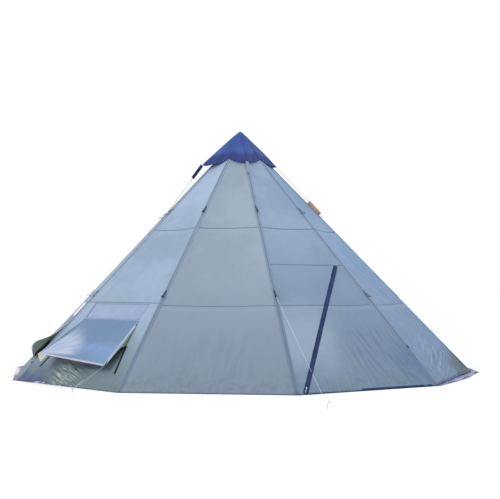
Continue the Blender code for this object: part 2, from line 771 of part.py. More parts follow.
def side_zip_ends(hand):
    """Top and foot of a side zip on a window wall."""
    top = Vector((hand * SIDE_ZIP_TOP_OFFSET, HOOD_HEIGHT - SIDE_ZIP_TOP_BELOW_HOOD))
    foot = Vector((hand * SIDE_ZIP_FOOT_OFFSET, HOOD_HEIGHT - SIDE_ZIP_FOOT_BELOW_HOOD))
    return top, foot


def add_wing(window, hand_name, hand, hinge):
    """A side wing of a hood: cloth from its side edge back to the top of the side zip."""
    zip_top, _ = side_zip_ends(hand)
    back = Vector((zip_top.x, zip_top.y - HOOD_HEIGHT, 0))
    back = Matrix.Rotation(window.lift, 3, "X") @ back
    back.z += SIDE_ZIP + 2 * SEAT_GAP + CLOTH
    start = Vector((hand * (HOOD_TOP_HALF_WIDTH + WING_CLEAR), 0, 0))

    def place_point(along, inward):
        # The sheet runs from the hood's side edge, inward 0, to a line from hinge to zip, inward 1
        down = (WING_START_ROWS + columns * along) / HOOD_ROWS
        edge = hood_side_point(window, hand, down)
        edge.x += hand * WING_CLEAR
        point = edge.lerp(start.lerp(back, down), inward)
        point.x += hand * WING_BULGE * math.sin(math.pi * inward) * down
        return point

    columns = HOOD_ROWS - WING_START_ROWS
    name = f"{window.side}_hood_wing_{hand_name}"
    wing = add(name, grid_mesh(name, columns, WING_ROWS, place_point), HOOD_CLOTH, hinge)
    thicken(wing, CLOTH, hand)


def add_side_zip(window, hand_name, hand, wall):
    """The wall's half of a side zip, and the slider parked at its foot."""
    top, foot = side_zip_ends(hand)
    line = (foot, top)
    inner, outer = offset_line(*line, SIDE_ZIP_WIDTH / 2), offset_line(*line, -SIDE_ZIP_WIDTH / 2)
    low, high = level(foot.y), level(top.y)
    tape = [crossing(inner, low), crossing(outer, low), crossing(outer, high), crossing(inner, high)]
    start = f"{window.side}_window_"
    add_flat(f"{start}zip_{hand_name}", [tape], SIDE_ZIP, BLACK_TAPE, wall, SEAT_GAP)
    lean = math.atan2(foot.x - top.x, top.y - foot.y)
    track = make_frame(f"{start}track_{hand_name}", (*foot, 2 * SEAT_GAP + SIDE_ZIP), (0, 0, lean), wall)
    size = (SLIDER_WIDTH, SLIDER_LENGTH, SLIDER_THICK)
    place = (0, SLIDER_LENGTH / 2 + SLIDER_WIDTH, SLIDER_THICK / 2)
    add_block(f"{start}slider_{hand_name}", size, BLACK_PLASTIC, track, place, SMALL_EDGE)


def toggle_profile():
    """Half outline of a toggle bar, thicker in the middle."""
    half, edge = TOGGLE_LENGTH / 2, TOGGLE_RADIUS - TOGGLE_TAPER
    return [(0, half), (TOGGLE_TAPER, half), (TOGGLE_RADIUS, half - edge), (TOGGLE_RADIUS, edge - half),
            (TOGGLE_TAPER, -half), (0, -half)]


def add_toggle(name, parent, place, rotation):
    """A toggle bar on its side."""
    add_turned(name, toggle_profile(), TOGGLE_PLASTIC, parent, place, TOGGLE_STEPS, rotation)


def add_hood_toggle(window, wall):
    """The toggle on a window wall that holds the hood's hem when it is let down."""
    place = (0, HOOD_HEIGHT - HOOD_TOGGLE_BELOW_HOOD, SEAT_GAP + TOGGLE_RADIUS)
    add_toggle(f"{window.side}_hood_toggle", wall, place, (0, math.pi / 2, 0))


def add_door_toggle():
    """The toggle on the hinge ridge that holds the door tied back."""
    up = DOOR_TOGGLE_HEIGHT / math.sin(RIDGE_ANGLE)
    lift = (SEAT_GAP + WEBBING) / math.cos(RIDGE_BEND) + SEAT_GAP + TOGGLE_RADIUS
    add_toggle("door_toggle", RIDGES[DOOR_HINGE_RIDGE], (0, up, lift), (math.pi / 2, 0, 0))


def pole_heights():
    """Underside of the apex plate and top of the upper tube."""
    plate = PEAK_HEIGHT * (1 - CROWN_TOP_RADIUS / APOTHEM)
    return plate, plate - SEAT_GAP - PLUG_SHOULDER


def add_pole():
    """The two tubes of the centre pole, its foot, lock collar and top plug."""
    plate, tube_top = pole_heights()
    upper_inner = POLE_UPPER_RADIUS - POLE_WALL
    upper_foot = POLE_JOINT_HEIGHT - POLE_OVERLAP
    upper = [(POLE_UPPER_RADIUS, tube_top), (POLE_UPPER_RADIUS, upper_foot),
             (upper_inner, upper_foot), (upper_inner, tube_top)]
    add_turned("pole_upper_tube", upper, ALUMINIUM)
    lower_inner = POLE_LOWER_RADIUS - POLE_WALL
    lower_foot = FOOT_THICK + SEAT_GAP
    lower = [(POLE_LOWER_RADIUS, POLE_JOINT_HEIGHT), (POLE_LOWER_RADIUS, lower_foot),
             (lower_inner, lower_foot), (lower_inner, POLE_JOINT_HEIGHT)]
    slide = make_frame("pole_slide", (0, 0, 0))
    add_turned("pole_lower_tube", lower, ALUMINIUM, slide)
    socket = POLE_LOWER_RADIUS + SEAT_GAP
    foot = [(0, FOOT_THICK), (socket, FOOT_THICK), (socket, FOOT_SOCKET_HEIGHT),
            (socket + FOOT_WALL, FOOT_SOCKET_HEIGHT), (socket + FOOT_WALL, FOOT_THICK + FOOT_WALL),
            (FOOT_RADIUS, FOOT_THICK / 2), (FOOT_RADIUS, 0), (0, 0)]
    add_turned("pole_foot", foot, RUBBER, slide)
    collar_foot = POLE_JOINT_HEIGHT - COLLAR_HEIGHT
    inner, edge = POLE_LOWER_RADIUS + SEAT_GAP, COLLAR_EDGE
    groove = COLLAR_RADIUS - COLLAR_GRIP_DEPTH
    collar = [
        (COLLAR_RADIUS - edge, COLLAR_HEIGHT),
        (COLLAR_RADIUS, COLLAR_HEIGHT - edge),
        (COLLAR_RADIUS, COLLAR_HEIGHT - 3 * edge),
        (groove, COLLAR_HEIGHT - 4 * edge),
        (groove, 4 * edge),
        (COLLAR_RADIUS, 3 * edge),
        (COLLAR_RADIUS, edge),
        (COLLAR_RADIUS - edge, 0),
        (inner, 0),
        (inner, COLLAR_HEIGHT),
    ]
    add_turned("pole_lock_collar", collar, BLACK_PLASTIC, slide, (0, 0, collar_foot))
    plug_radius = upper_inner - SEAT_GAP
    pin_top = CAP_TIP_HEIGHT - CLOTH - SEAT_GAP
    plug = [
        (0, pin_top),
        (PIN_RADIUS - PIN_TIP / 2, pin_top),
        (PIN_RADIUS, pin_top - PIN_TIP),
        (PIN_RADIUS, plate - SEAT_GAP),
        (POLE_UPPER_RADIUS, plate - SEAT_GAP),
        (POLE_UPPER_RADIUS, tube_top + SEAT_GAP),
        (plug_radius, tube_top + SEAT_GAP),
        (plug_radius, tube_top - PLUG_DEPTH),
        (0, tube_top - PLUG_DEPTH),
    ]
    add_turned("pole_top_plug", plug, BLACK_PLASTIC)


def add_crown():
    """The net of the vent under the cap, and the plate that hangs it on the pole."""
    plate, _ = pole_heights()
    hole = PIN_RADIUS + SEAT_GAP
    ring = [(APEX_PLATE_RADIUS - APEX_PLATE_THICK / 2, plate + APEX_PLATE_THICK),
            (APEX_PLATE_RADIUS, plate + APEX_PLATE_THICK / 2), (APEX_PLATE_RADIUS, plate),
            (hole, plate), (hole, plate + APEX_PLATE_THICK)]
    add_turned("apex_plate", ring, BLACK_PLASTIC)
    inward = (CLOTH + SEAT_GAP) / math.sin(WALL_ANGLE)
    wide = CROWN_RADIUS + CROWN_OVERLAP - inward
    narrow = CROWN_TOP_RADIUS - inward
    wide_height = PEAK_HEIGHT * (1 - (CROWN_RADIUS + CROWN_OVERLAP) / APOTHEM)
    narrow_height = plate - SEAT_GAP
    # A net between level rings: its lower edge lies inside the walls, its upper edge under the plate
    shape = bmesh.new()
    bmesh.ops.create_cone(shape, segments=SIDES, cap_ends=False, radius1=wide / math.cos(HALF_TURN),
                          radius2=narrow / math.cos(HALF_TURN), depth=narrow_height - wide_height)
    bmesh.ops.rotate(shape, verts=shape.verts, matrix=Matrix.Rotation(HALF_TURN, 3, "Z"))
    mesh = bpy.data.meshes.new("crown_net")
    shape.to_mesh(mesh)
    shape.free()
    net = add("crown_net", mesh, NET_CLOTH, None, (0, 0, (wide_height + narrow_height) / 2))
    thicken(net, NET, -1)


def cap_edge_share(turn):
    """How far a direction lies from the middle of a cap side, 0, to a cap corner, 1."""
    step = 2 * TURN
    from_corner = (turn + HALF_TURN) % step
    return abs(from_corner - TURN) / TURN


def cap_corner_radius(turn):
    """How far the cap corner nearest to a direction reaches."""
    number = math.floor((turn + HALF_TURN + TURN) / (2 * TURN)) % len(CAP_CORNER_SHARES)
    return CAP_CORNER_RADIUS * CAP_CORNER_SHARES[number]


def cap_point(turn, out):
    """A point of the cap's upper face, from its tip's rim, 0, to its scalloped edge, 1."""
    corner = cap_edge_share(turn)
    edge = CAP_MIDDLE_RADIUS + (cap_corner_radius(turn) - CAP_MIDDLE_RADIUS) * corner ** CAP_SCALLOP_POWER
    edge_drop = CAP_CORNER_DROP - (CAP_CORNER_DROP - CAP_MIDDLE_DROP) * (1 - corner) ** 2
    radius = CAP_TIP_RADIUS + (edge - CAP_TIP_RADIUS) * out
    return Vector((radius * math.sin(turn), -radius * math.cos(turn), CAP_TIP_HEIGHT - edge_drop * out))


def add_cap():
    """The five-cornered vent cap: a ring of extruded edges about a flat tip."""
    count = SIDES * CAP_STEPS_PER_SIDE
    work = bmesh.new()
    bmesh.ops.create_circle(work, cap_ends=True, radius=CAP_TIP_RADIUS, segments=count)
    rim = sorted(work.verts, key=lambda vertex: math.atan2(vertex.co.x, -vertex.co.y) % (2 * math.pi))
    turns = [2 * math.pi * number / count for number in range(count)]
    for vertex, turn in zip(rim, turns):
        vertex.co = cap_point(turn, 0)
    for ring in range(1, CAP_RINGS + 1):
        edges = [edge for edge in work.edges if edge.is_boundary]
        grown = bmesh.ops.extrude_edge_only(work, edges=edges)["geom"]
        fresh = [item for item in grown if isinstance(item, bmesh.types.BMVert)]
        for vertex in fresh:
            turn = math.atan2(vertex.co.x, -vertex.co.y)
            vertex.co = cap_point(turn, ring / CAP_RINGS)
    bmesh.ops.recalc_face_normals(work, faces=work.faces)
    if sum(face.normal.z for face in work.faces) < 0:
        bmesh.ops.reverse_faces(work, faces=work.faces)
    mesh = bpy.data.meshes.new("vent_cap")
    work.to_mesh(mesh)
    work.free()
    thicken(add("vent_cap", mesh, CAP_CLOTH), CLOTH, -1)


def tie_ends(number):
    """Ends of the tie on a ridge: beyond the cap's corner, and over the upper tab."""
    matrix = frame_matrix(ridge_place(number))
    turn = number * TURN - HALF_TURN
    corner = cap_point(turn, 1)
    foot = tab_foot(UPPER_TAB_HEIGHT)
    along = foot + TAB_LENGTH * TIE_END_SHARE
    rise = tab_base() + TAB_RISE * (1 - TIE_END_SHARE) + TIE_CORD_RADIUS + TIE_GAP
    end = matrix @ Vector((0, along, rise))
    start = corner - Vector((0, 0, CLOTH)) + (end - corner).normalized() * (TIE_GAP + CLOTH)
    return start, end, (end - start).normalized()


def add_ties():
    """Five ties from the cap's corners down to the upper tabs: webbing above, cord below."""
    for count, number in enumerate(CAP_RIDGES):
        start, end, way = tie_ends(number)
        turn = number * TURN - HALF_TURN
        dip = math.atan2(way.z, math.hypot(way.x, way.y))
        # The tie's frame has Y along the tie and Z outwards
        frame = make_frame(f"tie_frame_{count}", start, (dip, 0, turn + math.pi))
        length = (end - start).length
        half = TIE_WEBBING_LENGTH / 2
        size = (TIE_WEBBING_WIDTH, TIE_WEBBING_LENGTH, WEBBING)
        tie = add_block(f"cap_tie_{count}", size, NAVY_TAPE, frame, (0, half, 0))
        cord = [(0, TIE_WEBBING_LENGTH - TIE_WEBBING_WIDTH, 0), (0, length, 0)]
        cord = add_tube(f"cap_cord_{count}", cord, TIE_CORD_RADIUS, None, frame)
        bpy.context.view_layer.update()
        join_solid(tie, make_cutter(curve_to_mesh_object(cord)))


def tab_tip(number, height):
    """The outer lower corner of a guy tab, in the tent's frame."""
    return frame_matrix(ridge_place(number)) @ Vector((0, tab_foot(height), tab_base() + TAB_RISE))


def peg_points(out):
    """The line of a wire peg above the ground: a leaning shank and a hook that curls outwards."""
    head = out * PEG_LEAN + Vector((0, 0, PEG_HEIGHT))
    points = [-head * PEG_BELOW_SHARE, head]
    for step in range(1, PEG_HOOK_STEPS + 1):
        turn = math.pi * step / PEG_HOOK_STEPS
        across = PEG_HOOK_RADIUS * (1 - math.cos(turn))
        points.append(head + out * across + Vector((0, 0, PEG_HOOK_RADIUS * math.sin(turn))))
    return points


def add_peg(name, place, out):
    """A peg driven into the ground, as far as it shows, cut flat at the ground."""
    line = [place + point for point in peg_points(out)]
    peg = curve_to_mesh_object(add_tube(name + "_line", line, PEG_RADIUS, STEEL))
    peg.name = name
    cut = bmesh.new()
    cut.from_mesh(peg.data)
    geometry = cut.verts[:] + cut.edges[:] + cut.faces[:]
    bmesh.ops.bisect_plane(cut, geom=geometry, plane_co=(0, 0, 0), plane_no=(0, 0, -1), clear_outer=True)
    edges = [edge for edge in cut.edges if edge.is_boundary]
    bmesh.ops.holes_fill(cut, edges=edges)
    cut.to_mesh(peg.data)
    cut.free()


def stop_before_peg(way, out, line_radius):
    """How far before a peg's axis a line along the way stops, to lie against the peg."""
    shank = (out * PEG_LEAN + Vector((0, 0, PEG_HEIGHT))).normalized()
    across = (out - shank * out.dot(shank)).normalized()
    toward = way.dot(across)
    return (PEG_RADIUS + SEAT_GAP + line_radius * math.sqrt(1 - toward ** 2)) / toward


def tie_place(peg, out):
    """Where a line is tied: a point of the peg's axis."""
    return peg + out * PEG_LEAN * GUY_TIE_HEIGHT / PEG_HEIGHT + Vector((0, 0, GUY_TIE_HEIGHT))


def ridge_guy_points():
    """The guy line from the lower tab of the ridge beside the door to its peg, nearly straight."""
    tip = tab_tip(GUY_RIDGE, LOWER_TAB_HEIGHT)
    out = Vector((tip.x, tip.y, 0)).normalized()
    peg = out * GUY_PEG_DISTANCE
    end = tie_place(peg, out)
    way = (end - tip).normalized()
    start = tip + way * SEAT_GAP
    end -= way * stop_before_peg(way, out, GUY_RADIUS)
    points = []
    for step in range(GUY_POINTS):
        share = step / (GUY_POINTS - 1)
        sag = 4 * GUY_SAG * share * (1 - share)
        points.append(start.lerp(end, share) - Vector((0, 0, sag)))
    return points, peg, out


def add_ridge_guy():
    """Guy line, its runner and its peg."""
    points, peg, out = ridge_guy_points()
    add_tube("ridge_guy_line", points, GUY_RADIUS, CORD_FIBRE)
    add_peg("ridge_guy_peg", peg, out)
    place = round(RUNNER_SHARE * (GUY_POINTS - 1))
    way = (points[place + 1] - points[place - 1]).normalized()
    dip = math.atan2(way.z, math.hypot(way.x, way.y))
    turn = math.atan2(way.x, -way.y)
    frame = make_frame("guy_runner_frame", points[place], (math.pi / 2 - dip, 0, turn))
    inner, half = GUY_RADIUS + RUNNER_CLEAR, RUNNER_LENGTH / 2
    body = [(RUNNER_RADIUS - RUNNER_END, half), (RUNNER_RADIUS, half - RUNNER_END),
            (RUNNER_RADIUS, RUNNER_END - half), (RUNNER_RADIUS - RUNNER_END, -half),
            (inner, -half), (inner, half)]
    add_turned("guy_runner", body, BLACK_PLASTIC, frame, steps=RUNNER_STEPS)


def hood_guy_start(window):
    """Beside the right end of the rod, in the tent's frame."""
    wall, hinge = frame_matrix(wall_place(window.wall)), frame_matrix(hood_hinge_place(window))
    return wall @ hinge @ (rod_point(window, 1) + Vector((HOOD_GUY_RADIUS + SEAT_GAP, 0, 0)))


def hood_guy_points(window):
    """A hood's line: down to its peg, round it and some way back up."""
    turn = window.wall * TURN
    out = Vector((math.sin(turn), -math.cos(turn), 0))
    peg = frame_matrix(wall_place(window.wall)) @ Vector((HOOD_PEG_ALONG, 0, 0)) + out * HOOD_PEG_OUT
    start = hood_guy_start(window)
    away = Vector((peg.x - start.x, peg.y - start.y, 0)).normalized()
    side = Vector((-away.y, away.x, 0))
    tie = tie_place(peg, away)
    radius = PEG_RADIUS + HOOD_GUY_RADIUS + HOOD_GUY_TURN_CLEAR
    near = tie + (side - away) * radius
    points = [start.lerp(near, step / HOOD_GUY_DOWN_STEPS) for step in range(HOOD_GUY_DOWN_STEPS)]
    for step in range(HOOD_GUY_TURN_STEPS + 1):
        angle = math.pi * step / HOOD_GUY_TURN_STEPS
        points.append(tie + (side * math.cos(angle) + away * math.sin(angle)) * radius)
    last = points[-1]
    back = tie.lerp(start, HOOD_GUY_BACK_SHARE) - side * HOOD_GUY_SPREAD
    for step in range(1, HOOD_GUY_BACK_STEPS + 1):
        points.append(last.lerp(back, step / HOOD_GUY_BACK_STEPS))
    return points, peg, away


def add_hood_guy(window):
    """A hood's line and its peg."""
    points, peg, away = hood_guy_points(window)
    add_tube("hood_guy_line", points, HOOD_GUY_RADIUS, CORD_FIBRE)
    add_peg("hood_guy_peg", peg, away)


WALLS = [make_frame(f"wall_frame_{number}", *wall_place(number)) for number in range(SIDES)]
RIDGES = [make_frame(f"ridge_frame_{number}", *ridge_place(number)) for number in range(SIDES)]
bpy.context.view_layer.update()

add_walls()
add_ridge_webbing()
add_skirts()
add_sill()
add_door()
for opening in WINDOWS:
    add_window_wall(opening)
    add_hood(opening)
add_door_toggle()
add_pole()
add_crown()
add_cap()
add_ties()
add_ridge_guy()
add_hood_guy(FRONT_WINDOW)
bpy.context.view_layer.update()
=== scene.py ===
from math import asin, atan2, cos, exp, floor, hypot, pi, radians, sin, sqrt, tan

import bmesh
import bpy
import numpy as np
from mathutils import Matrix, Vector


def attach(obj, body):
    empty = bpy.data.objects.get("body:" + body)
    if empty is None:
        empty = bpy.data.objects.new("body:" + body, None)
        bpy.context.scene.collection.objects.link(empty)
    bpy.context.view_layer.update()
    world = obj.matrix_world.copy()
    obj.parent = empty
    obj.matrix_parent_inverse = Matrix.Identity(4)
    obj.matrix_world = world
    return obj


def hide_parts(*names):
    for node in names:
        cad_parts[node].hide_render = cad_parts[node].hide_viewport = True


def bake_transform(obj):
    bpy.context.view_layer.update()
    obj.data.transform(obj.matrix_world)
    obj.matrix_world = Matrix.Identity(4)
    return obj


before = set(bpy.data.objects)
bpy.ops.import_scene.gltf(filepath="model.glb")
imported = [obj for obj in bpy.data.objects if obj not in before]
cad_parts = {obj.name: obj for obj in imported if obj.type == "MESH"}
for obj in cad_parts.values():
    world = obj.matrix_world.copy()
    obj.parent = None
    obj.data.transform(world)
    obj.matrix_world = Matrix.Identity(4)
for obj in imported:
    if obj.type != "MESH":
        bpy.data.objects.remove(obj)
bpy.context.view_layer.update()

# Sizes of the CAD model, in metres
SIDES = 10
CORNER_RADIUS, PEAK_HEIGHT, CROWN_RADIUS = 3.40, 3.533, 0.20
CLOTH, WEBBING, GAP, SEAM_GAP = 0.0015, 0.0020, 0.0003, 0.0004
BAND_HALF, BAND_LIFT, RING_WIDTH = 0.030, 0.006, 0.040
TAB_LENGTH, TAB_RISE, TAB_WIDTH, TAB_SINK = 0.150, 0.036, 0.022, 0.0010
LOWER_TAB, UPPER_TAB = 1.09, 2.26
SKIRT_WIDTH, SKIRT_TUCK, SKIRT_FLAT, SKIRT_FOLD, SKIRT_WAVE = 0.150, 0.020, 0.020, 0.030, 0.012
SKIRT_FOLDS, SKIRT_WALLS, SILL_OUT = 3, 7, 0.030
SKIRT_REACH = (0.25, 1.0, 0.75, 1.0, 0.70, 0.95, 0.75, 1.0, 0.70, 1.0, 0.75, 0.9, 0.60, 0.50, 0.35)
DOOR_HEIGHT, DOOR_LIFT, DOOR_FOOT_INSET, DOOR_HEAD_INSET, HINGE_STRIP = 2.07, 0.008, 0.115, 0.137, 0.070
ZIP_TAPE_WIDTH, ZIP_TAPE = 0.031, 0.0015
HOOD_HEIGHT, HOOD_LENGTH, HOOD_TOP_HALF, HOOD_HEM_HALF = 1.10, 0.815, 0.567, 0.627
HOOD_BOW_POWER, HOOD_LEFT_BOW, ROD_RADIUS, WING_CLEAR = 3.5, 0.15, 0.0045, 0.0008
# Wall, lift, skew and bow of the two hoods, and the sag of their cloth
HOODS = {"front": (8, radians(11.0), radians(4.1), 0.0, 0.020),
         "back": (7, radians(2.0), 0.0, 0.140, 0.010)}
WINDOW_WALLS = (7, 8)
# Half width, foot and head of a window's two openings, and the seam round them
PANE_HOLE, NET_HOLE, WINDOW_SEAM = (0.550, 1.122, 1.382), (0.500, 0.420, 1.040), 0.018
SIDE_ZIP_TOP, SIDE_ZIP_FOOT, SIDE_ZIP_WIDTH = Vector((0.641, 0.690)), Vector((0.766, 0.258)), 0.022
CAP_TIP, CAP_TIP_RADIUS, CAP_CORNER, CAP_MIDDLE = 3.575, 0.020, 0.570, 0.410
CAP_CORNERS = (0.90, 0.965, 1.0, 1.0, 1.13)
CAP_CORNER_DROP, CAP_MIDDLE_DROP = 0.540, 0.445
CROWN_TOP_RADIUS, CROWN_OVERLAP = 0.050, 0.030
TIE_LENGTH, TIE_WIDTH, TIE_CORD, TIE_GAP, TIE_END = 0.250, 0.042, 0.0022, 0.0006, 0.45
GUY_RADIUS, GUY_SAG, GUY_POINTS, GUY_PEG = 0.0020, 0.006, 24, 4.64
GUY_TIE, PEG_RADIUS, PEG_HEIGHT, PEG_LEAN = 0.035, 0.0035, 0.075, 0.020
HOOD_GUY_RADIUS, HOOD_PEG_OUT, HOOD_PEG_ALONG, TURN_CLEAR = 0.0018, 0.345, 0.640, 0.0006
HOOD_GUY_SPREAD, HOOD_GUY_BACK = 0.030, 0.42

TURN = 2 * pi / SIDES
HALF_TURN = TURN / 2
APOTHEM = CORNER_RADIUS * cos(HALF_TURN)
HALF_SIDE = CORNER_RADIUS * sin(HALF_TURN)
SLANT = hypot(APOTHEM, PEAK_HEIGHT)
WALL_ANGLE = atan2(PEAK_HEIGHT, APOTHEM)
RIDGE_ANGLE = atan2(PEAK_HEIGHT, CORNER_RADIUS)
BEND = asin(sin(WALL_ANGLE) * sin(HALF_TURN))
WALL_FOOT = (CLOTH + GAP + CLOTH * cos(WALL_ANGLE)) / sin(WALL_ANGLE)
WALL_HEAD = SLANT * (1 - CROWN_RADIUS / APOTHEM)
RIDGE_HEAD = hypot(CORNER_RADIUS, PEAK_HEIGHT) * (1 - CROWN_RADIUS / APOTHEM)
TAB_BASE = GAP + WEBBING - TAB_SINK

# Sizes of what is drawn here alone: cloth and tapes, zip teeth, and the spacing of the walls' points
SHEET, TAPE, EDGE_TAPE, SEAM_HALF, TOOTH_PITCH, STEP = 0.0010, 0.0012, 0.0010, 0.008, 0.0022, 0.027
# Heights up the slope of the sewn seams that run round the tent, and of the lower one over a window
SEAM_HEIGHTS, WINDOW_SEAM_HEIGHT = (1.370, 2.786), 1.405
UP = Vector((0, 0, 1))
# Tapes: half widths of a side edge, a hem and the cap's hem, and the bulge of a wing
EDGE_HALF, HEM_HALF, CAP_HEM_HALF, WING_BULGE = 0.009, 0.014, 0.012, 0.030
# The dark rim of the door: where it starts across the foot, how high it lies, half its width, and how far it
# ends short of the hinge, where it would meet the wall when the door is open
RIM_START, RIM_HEIGHT, RIM_HALF, RIM_SHORT = 0.42, 0.011, 0.010, 0.016
# How much higher the cap's front corner is than its others
CAP_FRONT_LIFT = 0.034
# How far the teeth of the door's zip lie from its middle and above the tape, and radii of both kinds of teeth
TEETH_ASIDE, TEETH_LIFT, DOOR_TOOTH, SIDE_TOOTH = 0.0020, 0.0008, 0.0015, 0.0013

# Camera
camera = bpy.data.objects.new("camera", bpy.data.cameras.new("camera"))
bpy.context.scene.collection.objects.link(camera)
bpy.context.scene.camera = camera
camera.location = (-6.775, -12.222, 1.244)
camera.rotation_euler = (pi / 2, 0, radians(-29))
camera.data.lens, camera.data.sensor_width = 66.8, 36
camera.data.shift_x, camera.data.shift_y = 0.0194, 0.0746


# Materials. A colour is red, green and blue from 0 to 255, as the photo shows it, and the share of it that the
# surface reflects under these lamps.

def tone(red, green, blue, share=0.62):
    """A colour in linear light."""
    def linear(value):
        value /= 255
        return share * (value / 12.92 if value <= 0.04045 else ((value + 0.055) / 1.055) ** 2.4)
    return (linear(red), linear(green), linear(blue), 1.0)


class Paint:
    """A material with its object and UV coordinates, and short calls for its nodes, which give their outputs."""

    def __init__(self, name, **sockets):
        self.material = bpy.data.materials.new(name)
        self.material.use_nodes = True
        self.tree = self.material.node_tree
        self.shader = self.tree.nodes["Principled BSDF"]
        for key, value in sockets.items():
            self.shader.inputs[key.replace("_", " ")].default_value = value
        place = self.tree.nodes.new("ShaderNodeTexCoord")
        self.object, self.uv = place.outputs["Object"], place.outputs["UV"]

    def node(self, kind, inputs, output=0, **settings):
        """Any node; its inputs are values or other nodes' outputs."""
        made = self.tree.nodes.new("ShaderNode" + kind)
        for key, value in settings.items():
            setattr(made, key, value)
        for key, value in inputs.items():
            if isinstance(value, bpy.types.NodeSocket):
                self.tree.links.new(value, made.inputs[key])
            else:
                made.inputs[key].default_value = value
        return made.outputs[output]

    def mix(self, share, first, second):
        """Two colours mixed by a share."""
        first, second = (tone(*value) if isinstance(value, tuple) else value for value in (first, second))
        return self.node("Mix", {0: share, 6: first, 7: second}, 2, data_type="RGBA")

    def calc(self, operation, *values):
        return self.node("Math", dict(enumerate(values)), operation=operation)

    def spread(self, value, low, high, out_low=0.0, out_high=1.0):
        """A value mapped smoothly from one range to another."""
        inputs = {"Value": value, "From Min": low, "From Max": high, "To Min": out_low, "To Max": out_high}
        return self.node("MapRange", inputs, interpolation_type="SMOOTHSTEP")

    def near(self, value, middle, inner, outer, strength=1.0):
        """A strength that fades from one distance to another off a middle value."""
        off = self.calc("ABSOLUTE", self.calc("SUBTRACT", value, middle))
        return self.spread(off, inner, outer, strength, 0.0)

    def noise(self, scale, detail, roughness=0.5, vector=None):
        vector = self.object if vector is None else vector
        inputs = {"Vector": vector, "Scale": scale, "Detail": detail, "Roughness": roughness}
        return self.node("TexNoise", inputs, "Fac")

    def wave(self, width, direction, distortion, detail=2.0):
        """Even bands of a width, in the UV."""
        inputs = {"Vector": self.uv, "Scale": 0.314 / width, "Distortion": distortion, "Detail": detail}
        return self.node("TexWave", inputs, "Fac", bands_direction=direction)

    def axis(self, vector, name):
        return self.node("SeparateXYZ", {0: vector}, name)

    def away(self, x, y):
        """Distance from a place in the UV."""
        return self.node("VectorMath", {0: self.uv, 1: (x, y, 0.0)}, "Value", operation="DISTANCE")

    def bump(self, height, distance, strength, **normal):
        return self.node("Bump", {"Height": height, "Distance": distance, "Strength": strength, **normal})

    def finish(self, **sockets):
        """Link what varies over the surface; gives the material."""
        for key, value in sockets.items():
            self.tree.links.new(value, self.shader.inputs[key.replace("_", " ")])
        return self.material


